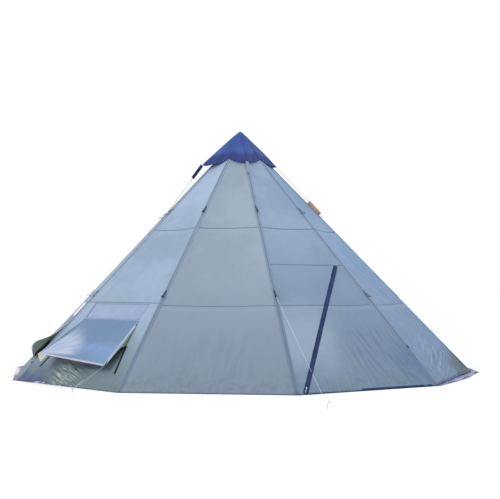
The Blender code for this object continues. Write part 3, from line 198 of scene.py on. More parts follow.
def cloth_material(name, light, dark, low=None, foot_shade_height=1.4, thread=0.0011, roughness=0.6, crinkle=0.0016,
                   crinkle_size=9.0, sheen=0.12, dirt=None, bands=(), spots=(), streaks=(), fans=(), **sockets):
    """Woven cloth: cross threads, uneven colour, fine crinkles, a foot darkened by painted shade, and dirt specks.

    Bands are level stripes (height, half width, colour, strength), spots round patches (x, y, radius, colour,
    strength), streaks the same with long marks at an angle (x, y, radius, degrees, width, colour, strength) and
    fans marks spread from a creased corner (x, y, radius, lowest and highest degrees, colour, strength), all in the
    sheet's own UV, in metres. As noted where they are given, most of them are painted light and shade.
    """
    m = Paint(name, Sheen_Weight=sheen, Sheen_Roughness=0.45, Sheen_Tint=(0.62, 0.76, 1.0, 1.0), **sockets)
    patch, up = m.noise(1.3, 5.0, 0.55), m.axis(m.object, "Z")
    colour = m.mix(m.spread(patch, 0.36, 0.64), light, dark)
    # Painted shade: towards the foot the colour darkens to the low colour, below the given height.
    if low:
        wander = m.calc("MULTIPLY_ADD", patch, 1.0, m.calc("ADD", up, -0.5))
        colour = m.mix(m.spread(wander, 0.0, foot_shade_height, 0.85, 0.0), colour, low)
    if dirt:
        speck = m.spread(m.noise(14.0, 7.0, 0.7), 0.40, 0.72)
        splash = m.calc("MULTIPLY", m.spread(up, 0.02, 0.34, 1.0, 0.0), speck)
        colour = m.mix(m.calc("MULTIPLY", splash, 0.55), colour, dirt)
    for height, half, tint, strength in bands:
        colour = m.mix(m.near(m.axis(m.uv, "Y"), height, half * 0.5, half, strength), colour, tint)
    for x, y, radius, tint, strength in spots:
        ragged = m.calc("MULTIPLY_ADD", patch, radius, m.calc("ADD", m.away(x, y), -radius * 0.5))
        colour = m.mix(m.spread(ragged, radius * 0.2, radius, strength, 0.0), colour, tint)
    for x, y, radius, angle, width, tint, strength in streaks:
        turned = m.node("Mapping", {"Vector": m.uv, "Rotation": (0, 0, radians(angle)),
                                    "Scale": (width * 9, width, 1.0)}, vector_type="TEXTURE")
        marks = m.spread(m.noise(1.0, 2.0, 0.4, turned), 0.46, 0.60)
        close = m.spread(m.away(x, y), radius * 0.45, radius, strength, 0.0)
        colour = m.mix(m.calc("MULTIPLY", close, marks), colour, tint)
    for x, y, radius, lowest, highest, tint, strength in fans:
        off = m.node("VectorMath", {0: m.uv, 1: (x, y, 0.0)}, operation="SUBTRACT")
        angle, length = m.calc("ARCTAN2", m.axis(off, "Y"), m.axis(off, "X")), m.away(x, y)
        polar = m.node("CombineXYZ", {0: m.calc("MULTIPLY", angle, 13.0), 1: m.calc("MULTIPLY", length, 2.5)})
        marks = m.noise(1.0, 3.0, 0.5, polar)
        lowest, highest = radians(lowest), radians(highest)
        inside = m.calc("MULTIPLY", m.spread(angle, lowest - 0.1, lowest + 0.06),
                        m.spread(angle, highest - 0.06, highest + 0.1, 1.0, 0.0))
        ragged = m.calc("MULTIPLY_ADD", marks, 0.3 * radius, length)
        share = m.calc("MULTIPLY", inside, m.spread(ragged, radius * 0.75, radius * 1.2, strength, 0.0))
        colour = m.mix(m.calc("MULTIPLY", share, m.spread(marks, 0.38, 0.6, 0.45, 1.0)), colour, tint)
    weave = m.calc("MULTIPLY", m.wave(thread, "X", 0.4, 1.0), m.wave(thread, "Y", 0.4, 1.0))
    fine = m.noise(crinkle_size, 6.0, 0.55)
    return m.finish(Base_Color=m.mix(m.calc("MULTIPLY", weave, 0.14), colour, dark),
                    Roughness=m.spread(fine, 0.3, 0.7, roughness - 0.07, roughness + 0.07),
                    Normal=m.bump(fine, crinkle, 0.6, Normal=m.bump(weave, 0.00012, 0.35)))


def tape_material(name, base, edge, stitch, lines=(0.12, 0.88), stripes=(), low=None):
    """Woven tape with two rows of stitches; its UV runs along it in metres and across it from 0 to 1.

    Stripes are (place across it, half width, colour), and low is the height and colour of painted shade at its
    foot.
    """
    m = Paint(name, Sheen_Weight=0.04, Sheen_Roughness=0.5, Specular_IOR_Level=0.15)
    along, across = m.axis(m.uv, "X"), m.axis(m.uv, "Y")
    patch = m.noise(6.0, 5.0)
    colour = m.mix(m.spread(patch, 0.35, 0.65), base, edge)
    for centre, half, tint in stripes:
        colour = m.mix(m.near(across, centre, half * 0.4, half), colour, tint)
    # Painted shade: darker towards the foot, as on the walls.
    if low:
        colour = m.mix(m.spread(m.axis(m.object, "Z"), 0.0, low[0], 0.75, 0.0), colour, low[1])
    dash = m.calc("LESS_THAN", m.calc("FRACT", m.calc("MULTIPLY", along, 1 / 0.0042)), 0.68)
    offs = [m.calc("ABSOLUTE", m.calc("SUBTRACT", across, line)) for line in lines]
    rows = m.calc("MAXIMUM", *(m.calc("MULTIPLY", m.calc("LESS_THAN", off, 0.022), dash) for off in offs))
    height = m.calc("MULTIPLY_ADD", rows, 1.5, m.wave(0.0016, "X", 0.2))
    return m.finish(Base_Color=m.mix(m.calc("MULTIPLY", rows, 0.8), colour, stitch),
                    Roughness=m.spread(patch, 0.3, 0.7, 0.57, 0.73), Normal=m.bump(height, 0.0003, 0.5))


def hard_material(name, light, dark, roughness, metallic=0.0, size=60.0):
    """Moulded plastic, rubber or metal with a fine grain and slight wear."""
    m = Paint(name, Metallic=metallic)
    wear = m.noise(size, 6.0, 0.65)
    return m.finish(Base_Color=m.mix(m.spread(wear, 0.35, 0.7), (*light, 1.0), (*dark, 1.0)),
                    Roughness=m.spread(wear, 0.3, 0.7, roughness - 0.08, roughness + 0.1),
                    Normal=m.bump(m.noise(size * 6, 3.0), 0.0001, 0.4))


def cord_material(name, light, dark):
    """Braided cord: slanted strands across the run of its UV."""
    m = Paint(name, Sheen_Weight=0.3)
    strands = m.wave(0.006, "DIAGONAL", 1.0)
    return m.finish(Base_Color=m.mix(strands, dark, light), Roughness=m.spread(strands, 0.0, 1.0, 0.75, 0.6),
                    Normal=m.bump(strands, 0.0004, 0.6))


def wall_canvas(number, light, dark, low, foot_shade_height, dirt=(104, 112, 104), foot=None, **marks):
    """The tent's cloth on one wall, with the doubled cloth under each seam showing through as a band."""
    seams = (WINDOW_SEAM_HEIGHT, SEAM_HEIGHTS[1]) if number in WINDOW_WALLS else SEAM_HEIGHTS
    bands = [(height - 0.055, 0.045, (166, 182, 208), 0.22) for height in seams]
    # A foot colour is a dark band along the wall's foot: painted shade where the wall meets the skirt.
    if foot:
        bands.append((0.010, 0.050, foot, 0.95))
    return cloth_material(f"wall_canvas_{number}", light, dark, low, foot_shade_height, dirt=dirt, bands=bands, **marks)


# Each wall's light, dark and low colours are the one cloth set to the light that falls on that wall: painted light
# and shade. The low colour is painted shade towards the foot.
WALLS = {
    # Wall 0: the spots are a patch of painted shade and a patch of painted light, the streaks painted light and
    # shade along soft folds.
    0: wall_canvas(0, (168, 190, 214, 0.65), (152, 174, 200), (118, 138, 164, 0.58), 3.0, (98, 110, 98),
                   spots=[(1.02, 0.40, 0.62, (98, 126, 164, 0.56), 0.75),
                          (-0.55, 0.85, 0.80, (164, 181, 200, 0.68), 0.70)],
                   streaks=[(-0.25, 0.35, 0.55, 78, 0.035, (150, 164, 150), 0.30),
                            (0.45, 0.5, 0.7, 100, 0.05, (96, 114, 138, 0.6), 0.4)]),
    # Wall 1: the foot band, the spots and the dark streaks are painted shade in its creased lower corner, the light
    # streaks painted highlights on its folds.
    1: wall_canvas(1, (146, 173, 204, 0.63), (130, 162, 199), (98, 130, 166, 0.60), 2.4,
                   foot=(22, 44, 124, 0.46),
                   spots=[(0.56, 0.10, 0.40, (56, 76, 70, 0.42), 0.9), (0.86, 0.18, 0.40, (50, 68, 62, 0.38), 1.0)],
                   streaks=[(-0.05, 0.22, 0.72, 20, 0.050, (166, 190, 222, 0.64), 0.40),
                            (0.10, 0.20, 0.70, 21, 0.055, (74, 104, 128, 0.5), 0.45)]),
    # Wall 7: the green low colour is painted shade under its hood, the blue spot painted shade at its foot.
    7: wall_canvas(7, (146, 172, 196), (136, 162, 182), (84, 110, 108), 1.0,
                   spots=[(1.00, 0.10, 0.26, (84, 96, 178, 0.60), 0.8)]),
    # Wall 8: the green low colour is painted shade under its hood, the blue spots painted shade along its foot, the
    # large pale spot painted light on its upper part, and the streaks painted highlights and shade on the creases
    # under the hood.
    8: wall_canvas(8, (162, 184, 212), (148, 172, 198, 0.60), (92, 116, 116, 0.60), 0.8,
                   spots=[(-0.62, 0.05, 0.34, (72, 98, 132, 0.55), 0.8),
                          (-0.97, 0.07, 0.16, (54, 78, 146, 0.52), 0.9),
                          (-0.78, 0.03, 0.14, (50, 74, 138, 0.50), 0.9),
                          (-0.60, 0.02, 0.11, (50, 74, 134, 0.50), 0.85),
                          (0.0, 3.9, 1.7, (178, 198, 224, 0.70), 0.6)],
                   streaks=[(-0.12, 0.16, 0.30, -18, 0.022, (178, 188, 178, 0.8), 0.8),
                            (-0.10, 0.16, 0.50, -20, 0.040, (66, 92, 84, 0.5), 0.7)]),
    # Wall 9: the streaks are soft painted shade.
    9: wall_canvas(9, (162, 180, 197, 0.66), (152, 170, 187, 0.64), (126, 145, 166), 1.9,
                   streaks=[(0.0, 0.3, 0.9, 85, 0.06, (112, 132, 156), 0.22)]),
}
# The other walls: their low colour is painted shade towards the foot.
PLAIN_WALL = wall_canvas(2, (156, 175, 196), (146, 166, 186), (122, 140, 156), 1.7)
# The cap's dark band is painted shade on its lower part, towards the hem.
CAP = cloth_material("cap_canvas", (72, 106, 190, 0.54), (56, 86, 174, 0.49), thread=0.0009, crinkle=0.004,
                     crinkle_size=16.0, sheen=0.0, bands=[(0.60, 0.22, (44, 62, 140, 0.44), 0.75)],
                     Specular_IOR_Level=0.25)
# The skirt's spots are painted highlights on the pale crumple at the left corner, its streaks painted highlights
# and painted shade on the crumples along it, and its band painted shade along the wall's foot. Its light and dark
# mix is partly painted highlight and shade on the crumples.
SKIRT = cloth_material("skirt_sheet", (150, 162, 218, 0.75), (70, 84, 150, 0.5), thread=0.0016, roughness=0.38,
                       crinkle=0.006, crinkle_size=22.0, sheen=0.1, dirt=(60, 68, 110, 0.5),
                       bands=[(0.030, 0.050, (30, 40, 100, 0.36), 0.95)],
                       spots=[(12.9 + 0.15 * place, 0.115, 0.11, (232, 234, 252, 1.0), 0.95) for place in range(8)],
                       streaks=[(1.05, 0.12, 1.2, 65, 0.030, (226, 230, 252, 0.9), 0.85),
                                (1.05, 0.08, 1.2, 60, 0.035, (64, 78, 150, 0.55), 0.7),
                                (14.3, 0.10, 0.7, 30, 0.045, (40, 52, 124, 0.4), 0.95)])
# The hood's dark band is painted shade on its steeper upper part, and its pale fan painted highlights on the
# creases of its lower left corner.
HOOD = cloth_material("hood_canvas", (128, 165, 214, 0.58), (116, 151, 197, 0.56), roughness=0.55, crinkle=0.003,
                      crinkle_size=14.0, sheen=0.08, bands=[(0.66, 0.40, (102, 139, 178, 0.54), 0.75)],
                      fans=[(0.02, 0.02, 0.66, 8, 82, (196, 204, 224, 0.76), 0.88)])
# The wings' green-grey colour is painted shade: the cloth in shade beside and under the hoods.
SHADED_WING = cloth_material("wing_canvas_painted_shade", (120, 144, 126, 0.6), (94, 118, 106, 0.55), crinkle=0.003, crinkle_size=14.0,
                      sheen=0.05)
NET = cloth_material("insect_net", (46, 50, 52, 1.0), (30, 33, 35, 1.0), thread=0.0024, roughness=0.8, sheen=0.1,
                     Alpha=0.8)
# The ridge tape's low colour is painted shade towards the foot, as on the walls.
RIDGE = tape_material("ridge_tape", (152, 171, 193), (146, 165, 188), (142, 160, 184), (0.06, 0.94),
                      [(0.80, 0.22, (158, 175, 204)), (0.48, 0.15, (118, 136, 160))], (2.2, (112, 131, 153)))
SEAM = tape_material("seam_tape_cloth", (132, 150, 171), (126, 144, 165), (148, 164, 184))
NAVY = tape_material("navy_tape_weave", (28, 48, 92, 1.0), (22, 40, 82, 1.0), (50, 68, 112, 1.0))
TAN = tape_material("tan_tape_weave", (214, 176, 150, 0.75), (198, 156, 130, 0.7), (226, 200, 180, 0.8))
PALE = tape_material("pale_tape_weave", (154, 172, 200), (146, 164, 194), (166, 182, 208))
CAP_TAPE = tape_material("cap_tape_weave", (58, 86, 172, 0.48), (50, 74, 156, 0.46), (62, 88, 168, 0.5))
BLACK = tape_material("black_tape_weave", (20, 26, 34), (16, 20, 28), (46, 52, 62))
# The hem tape's near-white is partly its own pale colour and partly a painted highlight along the lit hems and
# edges.
HIGHLIT_HEM = tape_material("pale_hem_tape_highlight", (206, 212, 228), (192, 200, 218), (228, 232, 240))
BINDING = tape_material("pane_binding", (156, 174, 206), (148, 168, 198), (180, 194, 220))
# The maroon tape is partly the red-brown of the rod in the hem and partly painted shade under the hem.
MAROON_AND_SHADE = tape_material("maroon_edge_weave", (104, 82, 96, 0.55), (82, 64, 80, 0.5), (124, 104, 116, 0.6))
CREAM = tape_material("cream_patch_cloth", (226, 220, 204), (214, 208, 192), (240, 236, 226))
TAB = tape_material("tab_webbing", (52, 78, 96), (42, 66, 86), (80, 104, 122))
film = Paint("clear_film", Roughness=0.16, IOR=1.45, Coat_Weight=0.5, Coat_Roughness=0.10, Transmission_Weight=0.04)
cloudy = film.noise(5.0, 4.0)
PANE = film.finish(Base_Color=film.mix(film.spread(cloudy, 0.35, 0.65), (156, 178, 220), (146, 168, 210)),
                   Normal=film.bump(cloudy, 0.01, 0.5))
STEEL = hard_material("steel_wire", (186, 188, 192), (150, 152, 156), 0.32, 1.0)
ALUMINIUM = hard_material("pole_metal", (208, 210, 214), (176, 178, 184), 0.36, 1.0, 18.0)
PLASTIC = hard_material("black_nylon", (34, 36, 38), (24, 25, 27), 0.45)
RUBBER = hard_material("foot_rubber", (44, 44, 44), (30, 30, 30), 0.82)
ROD = hard_material("rod_fibreglass", (108, 58, 50), (78, 40, 36), 0.4)
TOGGLE = hard_material("toggle_nylon", (34, 58, 54), (22, 40, 38), 0.5)
CORD = cord_material("pale_cord", (190, 198, 220, 1.0), (150, 160, 190, 1.0))
PALE_CORD = cord_material("pale_tie_cord", (158, 176, 206), (138, 156, 188, 0.6))
DARK_CORD = cord_material("dark_cord", (60, 72, 104, 1.0), (38, 48, 80, 1.0))


# Making meshes

def link(piece):
    """Put a piece in the scene."""
    bpy.context.scene.collection.objects.link(piece)
    return piece


def to_object(name, points, faces, material, uvs=None, matrix=None):
    """A smooth mesh piece from points, faces and one UV per point."""
    mesh = bpy.data.meshes.new(name)
    mesh.from_pydata([tuple(p) for p in points], [], faces)
    if uvs is not None:
        corners = np.zeros(len(mesh.loops), int)
        mesh.loops.foreach_get("vertex_index", corners)
        layer = mesh.uv_layers.new(name="cloth")
        layer.data.foreach_set("uv", np.asarray(uvs, float)[corners].ravel())
    if matrix is not None:
        mesh.transform(matrix)
    mesh.materials.append(material)
    mesh.polygons.foreach_set("use_smooth", [True] * len(mesh.polygons))
    return link(bpy.data.objects.new(name, mesh))


def quads(columns, rows, closed=False):
    """Faces of a grid whose points run row by row."""
    wide, faces = columns + 1, []
    for row in range(rows):
        for column in range(columns):
            a, b = row * wide + column, row * wide + (column + 1) % (columns if closed else wide)
            faces.append((a, b, b + wide, a + wide))
    return faces


def grid(name, columns, rows, place_point, material, uv_size, matrix=None, closed=False):
    """A sheet whose points are placed by a function of two shares from 0 to 1."""
    shares = [(column / columns, row / rows) for row in range(rows + 1) for column in range(columns + 1)]
    return to_object(name, [place_point(u, v) for u, v in shares], quads(columns, rows, closed), material,
                     [(u * uv_size[0], v * uv_size[1]) for u, v in shares], matrix)


def loft(name, rings, material, uvs, matrix=None):
    """A closed solid through rings of points of the same number."""
    count, faces = len(rings[0]), []
    for first in range(0, (len(rings) - 1) * count, count):
        for place in range(count):
            a, b = first + place, first + (place + 1) % count
            faces.append((a, b, b + count, a + count))
    faces.append(tuple(range(count - 1, -1, -1)))
    faces.append(tuple(range((len(rings) - 1) * count, len(rings) * count)))
    return to_object(name, [p for ring in rings for p in ring], faces, material, uvs, matrix)


def travel(line):
    """Each point of a line, with its number, direction and distance from the start."""
    run = 0.0
    for number, point in enumerate(line):
        before, after = line[max(number - 1, 0)], line[min(number + 1, len(line) - 1)]
        run += (point - before).length
        yield number, point, (after - before).normalized(), run


def strip(name, line, normals, half, thickness, material, matrix=None, sides=None):
    """A tape along a line: flat below, with slightly rounded edges above."""
    shape = [(-1, 0), (-1, 0.6), (-0.93, 1), (0.93, 1), (1, 0.6), (1, 0)]
    rings, uvs = [], []
    for number, point, way, run in travel([Vector(p) for p in line]):
        normal = normals[number] if isinstance(normals, list) else normals
        across = sides[number] if sides else way.cross(normal).normalized()
        wide = half[number] if isinstance(half, list) else half
        rings.append([point + across * wide * x + normal * thickness * z for x, z in shape])
        uvs += [(run, (x + 1) / 2) for x, _ in shape]
    return loft(name, rings, material, uvs, matrix)


def tube(name, path, radius, material, sides=8, bumps=(1,)):
    """A round tube along a path, with a UV that runs along it in metres."""
    path = [Vector(p) for p in path]
    side = (path[1] - path[0]).normalized().orthogonal().normalized()
    turns = [2 * pi * step / sides for step in range(sides)]
    rings, uvs = [], []
    for number, point, way, run in travel(path):
        side = (side - way * side.dot(way)).normalized()
        up, size = way.cross(side), radius * bumps[number % len(bumps)]
        rings.append([point + (side * cos(t) + up * sin(t)) * size for t in turns])
        uvs += [(run, t / TURN / SIDES * 0.012) for t in turns]
    return loft(name, rings, material, uvs)


def join(name, pieces):
    """Join pieces of one material each into one."""
    mesh, materials = bpy.data.meshes.new(name), []
    work = bmesh.new()
    work.loops.layers.uv.new("cloth")
    for piece in pieces:
        data = piece.data
        if data.materials[0] not in materials:
            materials.append(data.materials[0])
        index = materials.index(data.materials[0])
        data.polygons.foreach_set("material_index", [index] * len(data.polygons))
        work.from_mesh(data)
        bpy.data.objects.remove(piece, do_unlink=True)
    work.to_mesh(mesh)
    work.free()
    for material in materials:
        mesh.materials.append(material)
    return link(bpy.data.objects.new(name, mesh))


def thicken(piece, thickness=SHEET, offset=0.0):
    """Give a sheet its thickness."""
    solid = piece.modifiers.new("thickness", "SOLIDIFY")
    solid.thickness, solid.offset = thickness, offset


def finish_piece(piece, body="tent", nodes=(), ends=None):
    """Hides the CAD nodes that the piece stands for and hangs it on the body that it rides on; given ends, its
    place is baked into its mesh instead.
    """
    if nodes:
        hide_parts(*nodes)
    if ends:
        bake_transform(piece)
    else:
        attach(piece, body)
    return piece


def outline_area(corners):
    return abs(sum(a.cross(b) for a, b in zip(corners, corners[1:] + corners[:1]))) / 2


def tape_frame(way, inward, outward):
    """Directions across a tape and out of it, from its run, roughly across it and roughly outwards."""
    way = way.normalized()
    across = (inward - way * inward.dot(way)).normalized()
    out = way.cross(across).normalized()
    return across, -out if out.dot(outward) < 0 else out


# Frames of the walls and ridges, as in the CAD model

def radial(turn, radius, height=0.0):
    """A point at a turn round the tent from the door."""
    return Vector((radius * sin(turn), -radius * cos(turn), height))


def frame_matrix(location, tilt, turn=0.0):
    return Matrix.Translation(location) @ Matrix.Rotation(turn, 4, "Z") @ Matrix.Rotation(tilt, 4, "X")


def wall_matrix(number):
    return frame_matrix(radial(number * TURN, APOTHEM), WALL_ANGLE, number * TURN)


def ridge_matrix(number):
    turn = number * TURN - HALF_TURN
    return frame_matrix(radial(turn, CORNER_RADIUS), RIDGE_ANGLE, turn)


def half_width(height):
    """Half the width of a wall at a height up its slope."""
    return HALF_SIDE * (1 - height / SLANT)


def offset_line(start, end, distance):
    """The line from start to end, moved to its left."""
    way = (end - start).normalized()
    side = Vector((-way.y, way.x)) * distance
    return start + side, end + side


def crossing(first, second):
    """Where two lines of a wall's plane meet."""
    (a, b), (c, d) = first, second
    along, across = b - a, d - c
    return a + along * ((c - a).cross(across) / along.cross(across))


def level(height):
    return Vector((0, height)), Vector((HALF_SIDE, height))


ZIP_LINE = (Vector((-HALF_SIDE + DOOR_FOOT_INSET, 0)),
            Vector((half_width(DOOR_HEIGHT) - DOOR_HEAD_INSET, DOOR_HEIGHT)))
HINGE_LINE = offset_line(Vector((HALF_SIDE, 0)), Vector((half_width(DOOR_HEIGHT), DOOR_HEIGHT)), HINGE_STRIP)


# How far the pitched cloth departs from its walls' planes

def smooth(value):
    value = np.clip(value, 0, 1)
    return value * value * (3 - 2 * value)


def ripple(x, y, seed, sizes=(1.3, 0.8, 0.5, 0.33, 0.21), power=1.2):
    """Smooth unevenness, the same in each run."""
    rng = np.random.default_rng(seed)
    total, weight = np.zeros_like(x, float), 0.0
    for size in sizes:
        for _ in range(3):
            angle, phase = rng.uniform(0, pi), rng.uniform(0, 2 * pi)
            run = x * cos(angle) + y * sin(angle)
            total = total + np.sin(run * 2 * pi / size + phase) * size ** power
            weight += size ** power
    return total / weight * 2


def crease(x, y, start, end, width, height):
    """A fold that starts sharp and fades towards its end."""
    (x0, y0), (x1, y1) = start, end
    dx, dy = x1 - x0, y1 - y0
    share = np.clip(((x - x0) * dx + (y - y0) * dy) / (dx * dx + dy * dy), 0, 1)
    off = np.hypot(x - x0 - share * dx, y - y0 - share * dy)
    wide = width * (0.6 + 0.8 * share)
    return height * np.exp(-(off / wide) ** 2) * np.clip(share * 6, 0, 1) * (1 - share) ** 0.8


# Folds of the walls, the door and a hood's left corner: start and end in the sheet's plane, width and height
FOLDS = {
    8: [((-0.31, 0.25), (0.02, 0.12), 0.014, 0.015), ((-0.27, 0.21), (0.00, 0.08), 0.014, 0.017),
        ((-0.21, 0.25), (0.10, 0.14), 0.014, 0.016), ((-0.20, 0.16), (0.10, 0.04), 0.014, 0.014),
        ((-0.08, 0.20), (0.12, 0.11), 0.014, 0.013), ((0.10, 0.25), (0.42, 0.12), 0.016, 0.010),
        ((-0.60, 0.28), (-0.16, 0.09), 0.018, 0.010),
        ((-0.95, 0.30), (-0.80, 0.95), 0.025, 0.008), ((0.85, 0.05), (0.60, 0.34), 0.025, 0.007),
        ((-0.57, 1.40), (-0.30, 2.05), 0.035, 0.006), ((0.57, 1.40), (0.36, 2.0), 0.035, 0.006)],
    9: [((-1.0, 0.05), (-0.55, 0.75), 0.04, 0.006), ((1.0, 0.05), (0.70, 0.62), 0.04, 0.005),
        ((-0.45, 0.02), (-0.30, 0.35), 0.03, 0.004), ((0.25, 0.02), (0.32, 0.4), 0.03, 0.004)],
    0: [((-1.0, 0.05), (-0.75, 0.8), 0.03, 0.005)],
    1: [((0.02, 0.56), (-1.00, 0.20), 0.035, 0.020), ((0.20, 0.50), (-0.98, 0.05), 0.035, 0.022),
        ((0.42, 0.46), (-0.84, 0.01), 0.035, 0.026), ((0.54, 0.39), (-0.50, 0.01), 0.035, 0.024),
        ((0.64, 0.34), (-0.05, 0.01), 0.030, 0.022), ((0.84, 0.23), (0.18, 0.01), 0.030, 0.018),
        ((0.80, 0.70), (0.56, 1.50), 0.035, 0.010), ((-0.98, 0.06), (-0.55, 0.66), 0.04, 0.006)],
    "door": [((0.90, 0.08), (0.30, 0.60), 0.03, 0.009), ((0.93, 0.25), (0.52, 0.95), 0.03, 0.008),
             ((0.55, 0.03), (0.36, 0.52), 0.03, 0.006), ((-0.70, 0.05), (-0.30, 0.55), 0.03, 0.006),
             ((0.10, 0.03), (0.05, 0.42), 0.035, 0.006)],
    "hood": [((0.02, 0.02), end, width, height) for end, width, height in (
        ((0.62, 0.20), 0.014, 0.009), ((0.55, 0.30), 0.014, 0.010), ((0.46, 0.38), 0.014, 0.010),
        ((0.34, 0.44), 0.014, 0.009), ((0.18, 0.46), 0.014, 0.008), ((0.70, 0.10), 0.012, 0.007))],
}
PLAIN_FOLDS = 7


def sag(number, x, y):
    """How far a wall's cloth lies outside its plane; it is drawn in between the ridges."""
    half = half_width(y)
    side = np.clip(np.abs(x) / np.maximum(half, 0.01), 0, 1)
    rise = np.clip(y / SLANT, 0, 1)
    calm = smooth((half - np.abs(x)) / 0.10) * smooth(y / 0.10) * smooth((WALL_HEAD - y) / 0.15)
    depth = -0.026 * (1 - side ** 2) * np.sin(pi * np.clip(rise * 1.05, 0, 1))
    free, low, keep = 1 + 0 * x, 0 * x, 1 + 0 * x
    if number == 0:
        free = smooth((y - 2.15) / 0.6)
    if number in WINDOW_WALLS:
        free, low = smooth((y - 1.50) / 0.7), 1 - smooth((y - 0.10) / 0.14)
        # The cloth stays put round the pane, the net, the side zips and the toggle
        above = smooth((y - 1.40) / 0.10)
        keep = np.maximum(above, smooth((0.40 - y) / 0.06))
        zip_off = np.abs(np.abs(x) - (0.766 - (y - 0.258) * 0.289))
        keep = np.minimum(keep, np.maximum(smooth((zip_off - 0.02) / 0.05), above))
        keep = np.minimum(keep, smooth((np.hypot(x, y - 0.27) - 0.045) / 0.05))
        keep = np.where((np.abs(x) > 0.80 - 0.29 * (y - 0.25) + 0.02) & (y < 1.4), 1, keep)
    uneven = 0.0055 * ripple(x, y, 11 + number) + 0.0018 * ripple(x, y, 31 + number, (0.26, 0.17, 0.11))
    total = (depth + uneven) * free + uneven * 0.4 * low
    for fold in FOLDS.get(number, ()):
        total = total + crease(x, y, *fold) * keep
    if 2 <= number <= 6:
        rng = np.random.default_rng(70 + number)
        for _ in range(PLAIN_FOLDS):
            hand = rng.choice((-1, 1))
            x0, y0 = hand * 0.96, 0.06 + rng.uniform(0, 0.3)
            end = (hand * rng.uniform(0.15, 0.7), y0 + rng.uniform(0.35, 0.9))
            total = total + crease(x, y, (x0, y0), end, rng.uniform(0.025, 0.04), rng.uniform(0.004, 0.009))
    return total * calm


def in_wall(number, x, y, lift):
    """Points of a wall's plane, given its sag and a height over the cloth."""
    return np.column_stack((x, y, sag(number, x, y) + lift))


# How far the foot of a wall's cloth is drawn up off the ground: middle, half width and height
FOOT_LIFTS = {8: [(-0.52, 0.30, 0.034), (0.02, 0.22, 0.012)], 1: [(0.35, 0.40, 0.010)], 0: [(0.80, 0.15, 0.008)]}


def foot_lift(number, x, y):
    """How far up the slope a point near a wall's foot is drawn."""
    total = 0 * x
    for middle, half, height in FOOT_LIFTS.get(number, ()):
        total = total + height * np.exp(-((x - middle) / half) ** 2 * 2) * smooth(1 - y / 0.16)
    return total


def sheet_2d(xs, ys, cuts, keep):
    """A flat grid cut along lines; each cut is (start, end, side to drop or 0). Returns points and faces."""
    work = bmesh.new()
    rows = [[work.verts.new((x, y, 0)) for x in xs] for y in ys]
    for low, high in zip(rows, rows[1:]):
        for a, b, c, d in zip(low, low[1:], high[1:], high):
            work.faces.new((a, b, c, d))
    for start, end, drop in cuts:
        way = Vector(end) - Vector(start)
        bmesh.ops.bisect_plane(work, geom=work.verts[:] + work.edges[:] + work.faces[:],
                               plane_co=(start[0], start[1], 0), plane_no=Vector((way.y, -way.x, 0)).normalized(),
                               dist=1e-5, clear_outer=drop > 0, clear_inner=drop < 0)
    unwanted = [face for face in work.faces if not keep(*face.calc_center_median()[:2])]
    bmesh.ops.delete(work, geom=unwanted, context="FACES")
    work.verts.index_update()
    points = np.array([v.co[:] for v in work.verts])
    faces = [[v.index for v in face.verts] for face in work.faces]
    work.free()
    return points, faces


def steps(low, high, extra):
    """Evenly spaced places from low to high, with extra ones put in."""
    places = list(np.linspace(low, high, max(2, round((high - low) / STEP) + 1)))
    for value in extra:
        nearest = min(range(1, len(places) - 1), key=lambda n: abs(places[n] - value))
        places[nearest] = value
    return sorted(places)


def build_wall(number, node_name, openings=(), door=False):
    """One wall's cloth, cut to its outline, with its openings left out."""
    foot, head = half_width(WALL_FOOT) - SEAM_GAP, half_width(WALL_HEAD) - SEAM_GAP
    extra = [value for box in openings for value in box[1:]] + ([DOOR_HEIGHT + SEAM_GAP] if door else [])
    xs = steps(-foot, foot, [value for box in openings for value in (-box[0], box[0])])
    ys = steps(WALL_FOOT, WALL_HEAD, extra)
    cuts = [((foot, WALL_FOOT), (head, WALL_HEAD), 1), ((-foot, WALL_FOOT), (-head, WALL_HEAD), -1)]
    zip_edge, hinge_edge = offset_line(*ZIP_LINE, SEAM_GAP), offset_line(*HINGE_LINE, -SEAM_GAP)
    if door:
        cuts += [(*zip_edge, 0), (*hinge_edge, 0)]

    def left_of(line, x, y):
        return (line[1] - line[0]).cross(Vector((x, y)) - line[0]) > 0

    def keep(x, y):
        if door and y < DOOR_HEIGHT and not left_of(zip_edge, x, y) and left_of(hinge_edge, x, y):
            return False
        return not any(abs(x) < half and low < y < high for half, low, high in openings)

    points, faces = sheet_2d(xs, ys, cuts, keep)
    x, y = points[:, 0], points[:, 1]
    placed = in_wall(number, x, y, -CLOTH / 2)
    placed[:, 1] += foot_lift(number, x, y)
    piece = to_object(f"{node_name}_cloth", placed, faces, WALLS.get(number, PLAIN_WALL), points[:, :2],
                      wall_matrix(number))
    thicken(piece)
    finish_piece(piece, nodes=[node_name])
    area = (foot + head) * (WALL_HEAD - WALL_FOOT)
    area -= sum(2 * half * (high - low) for half, low, high in openings)
    if door:
        area -= outline_area([crossing(edge, level(height)) for edge, height in (
            (zip_edge, WALL_FOOT), (hinge_edge, WALL_FOOT), (hinge_edge, DOOR_HEIGHT), (zip_edge, DOOR_HEIGHT))])


def seam_tape(number, low, high, height, count):
    """A sewn seam that lies level on a wall."""
    xs = np.linspace(low, high, count)
    line = in_wall(number, xs, np.full_like(xs, height), 0.00005)
    return strip("seam", line, UP, SEAM_HALF, TAPE, SEAM, wall_matrix(number))


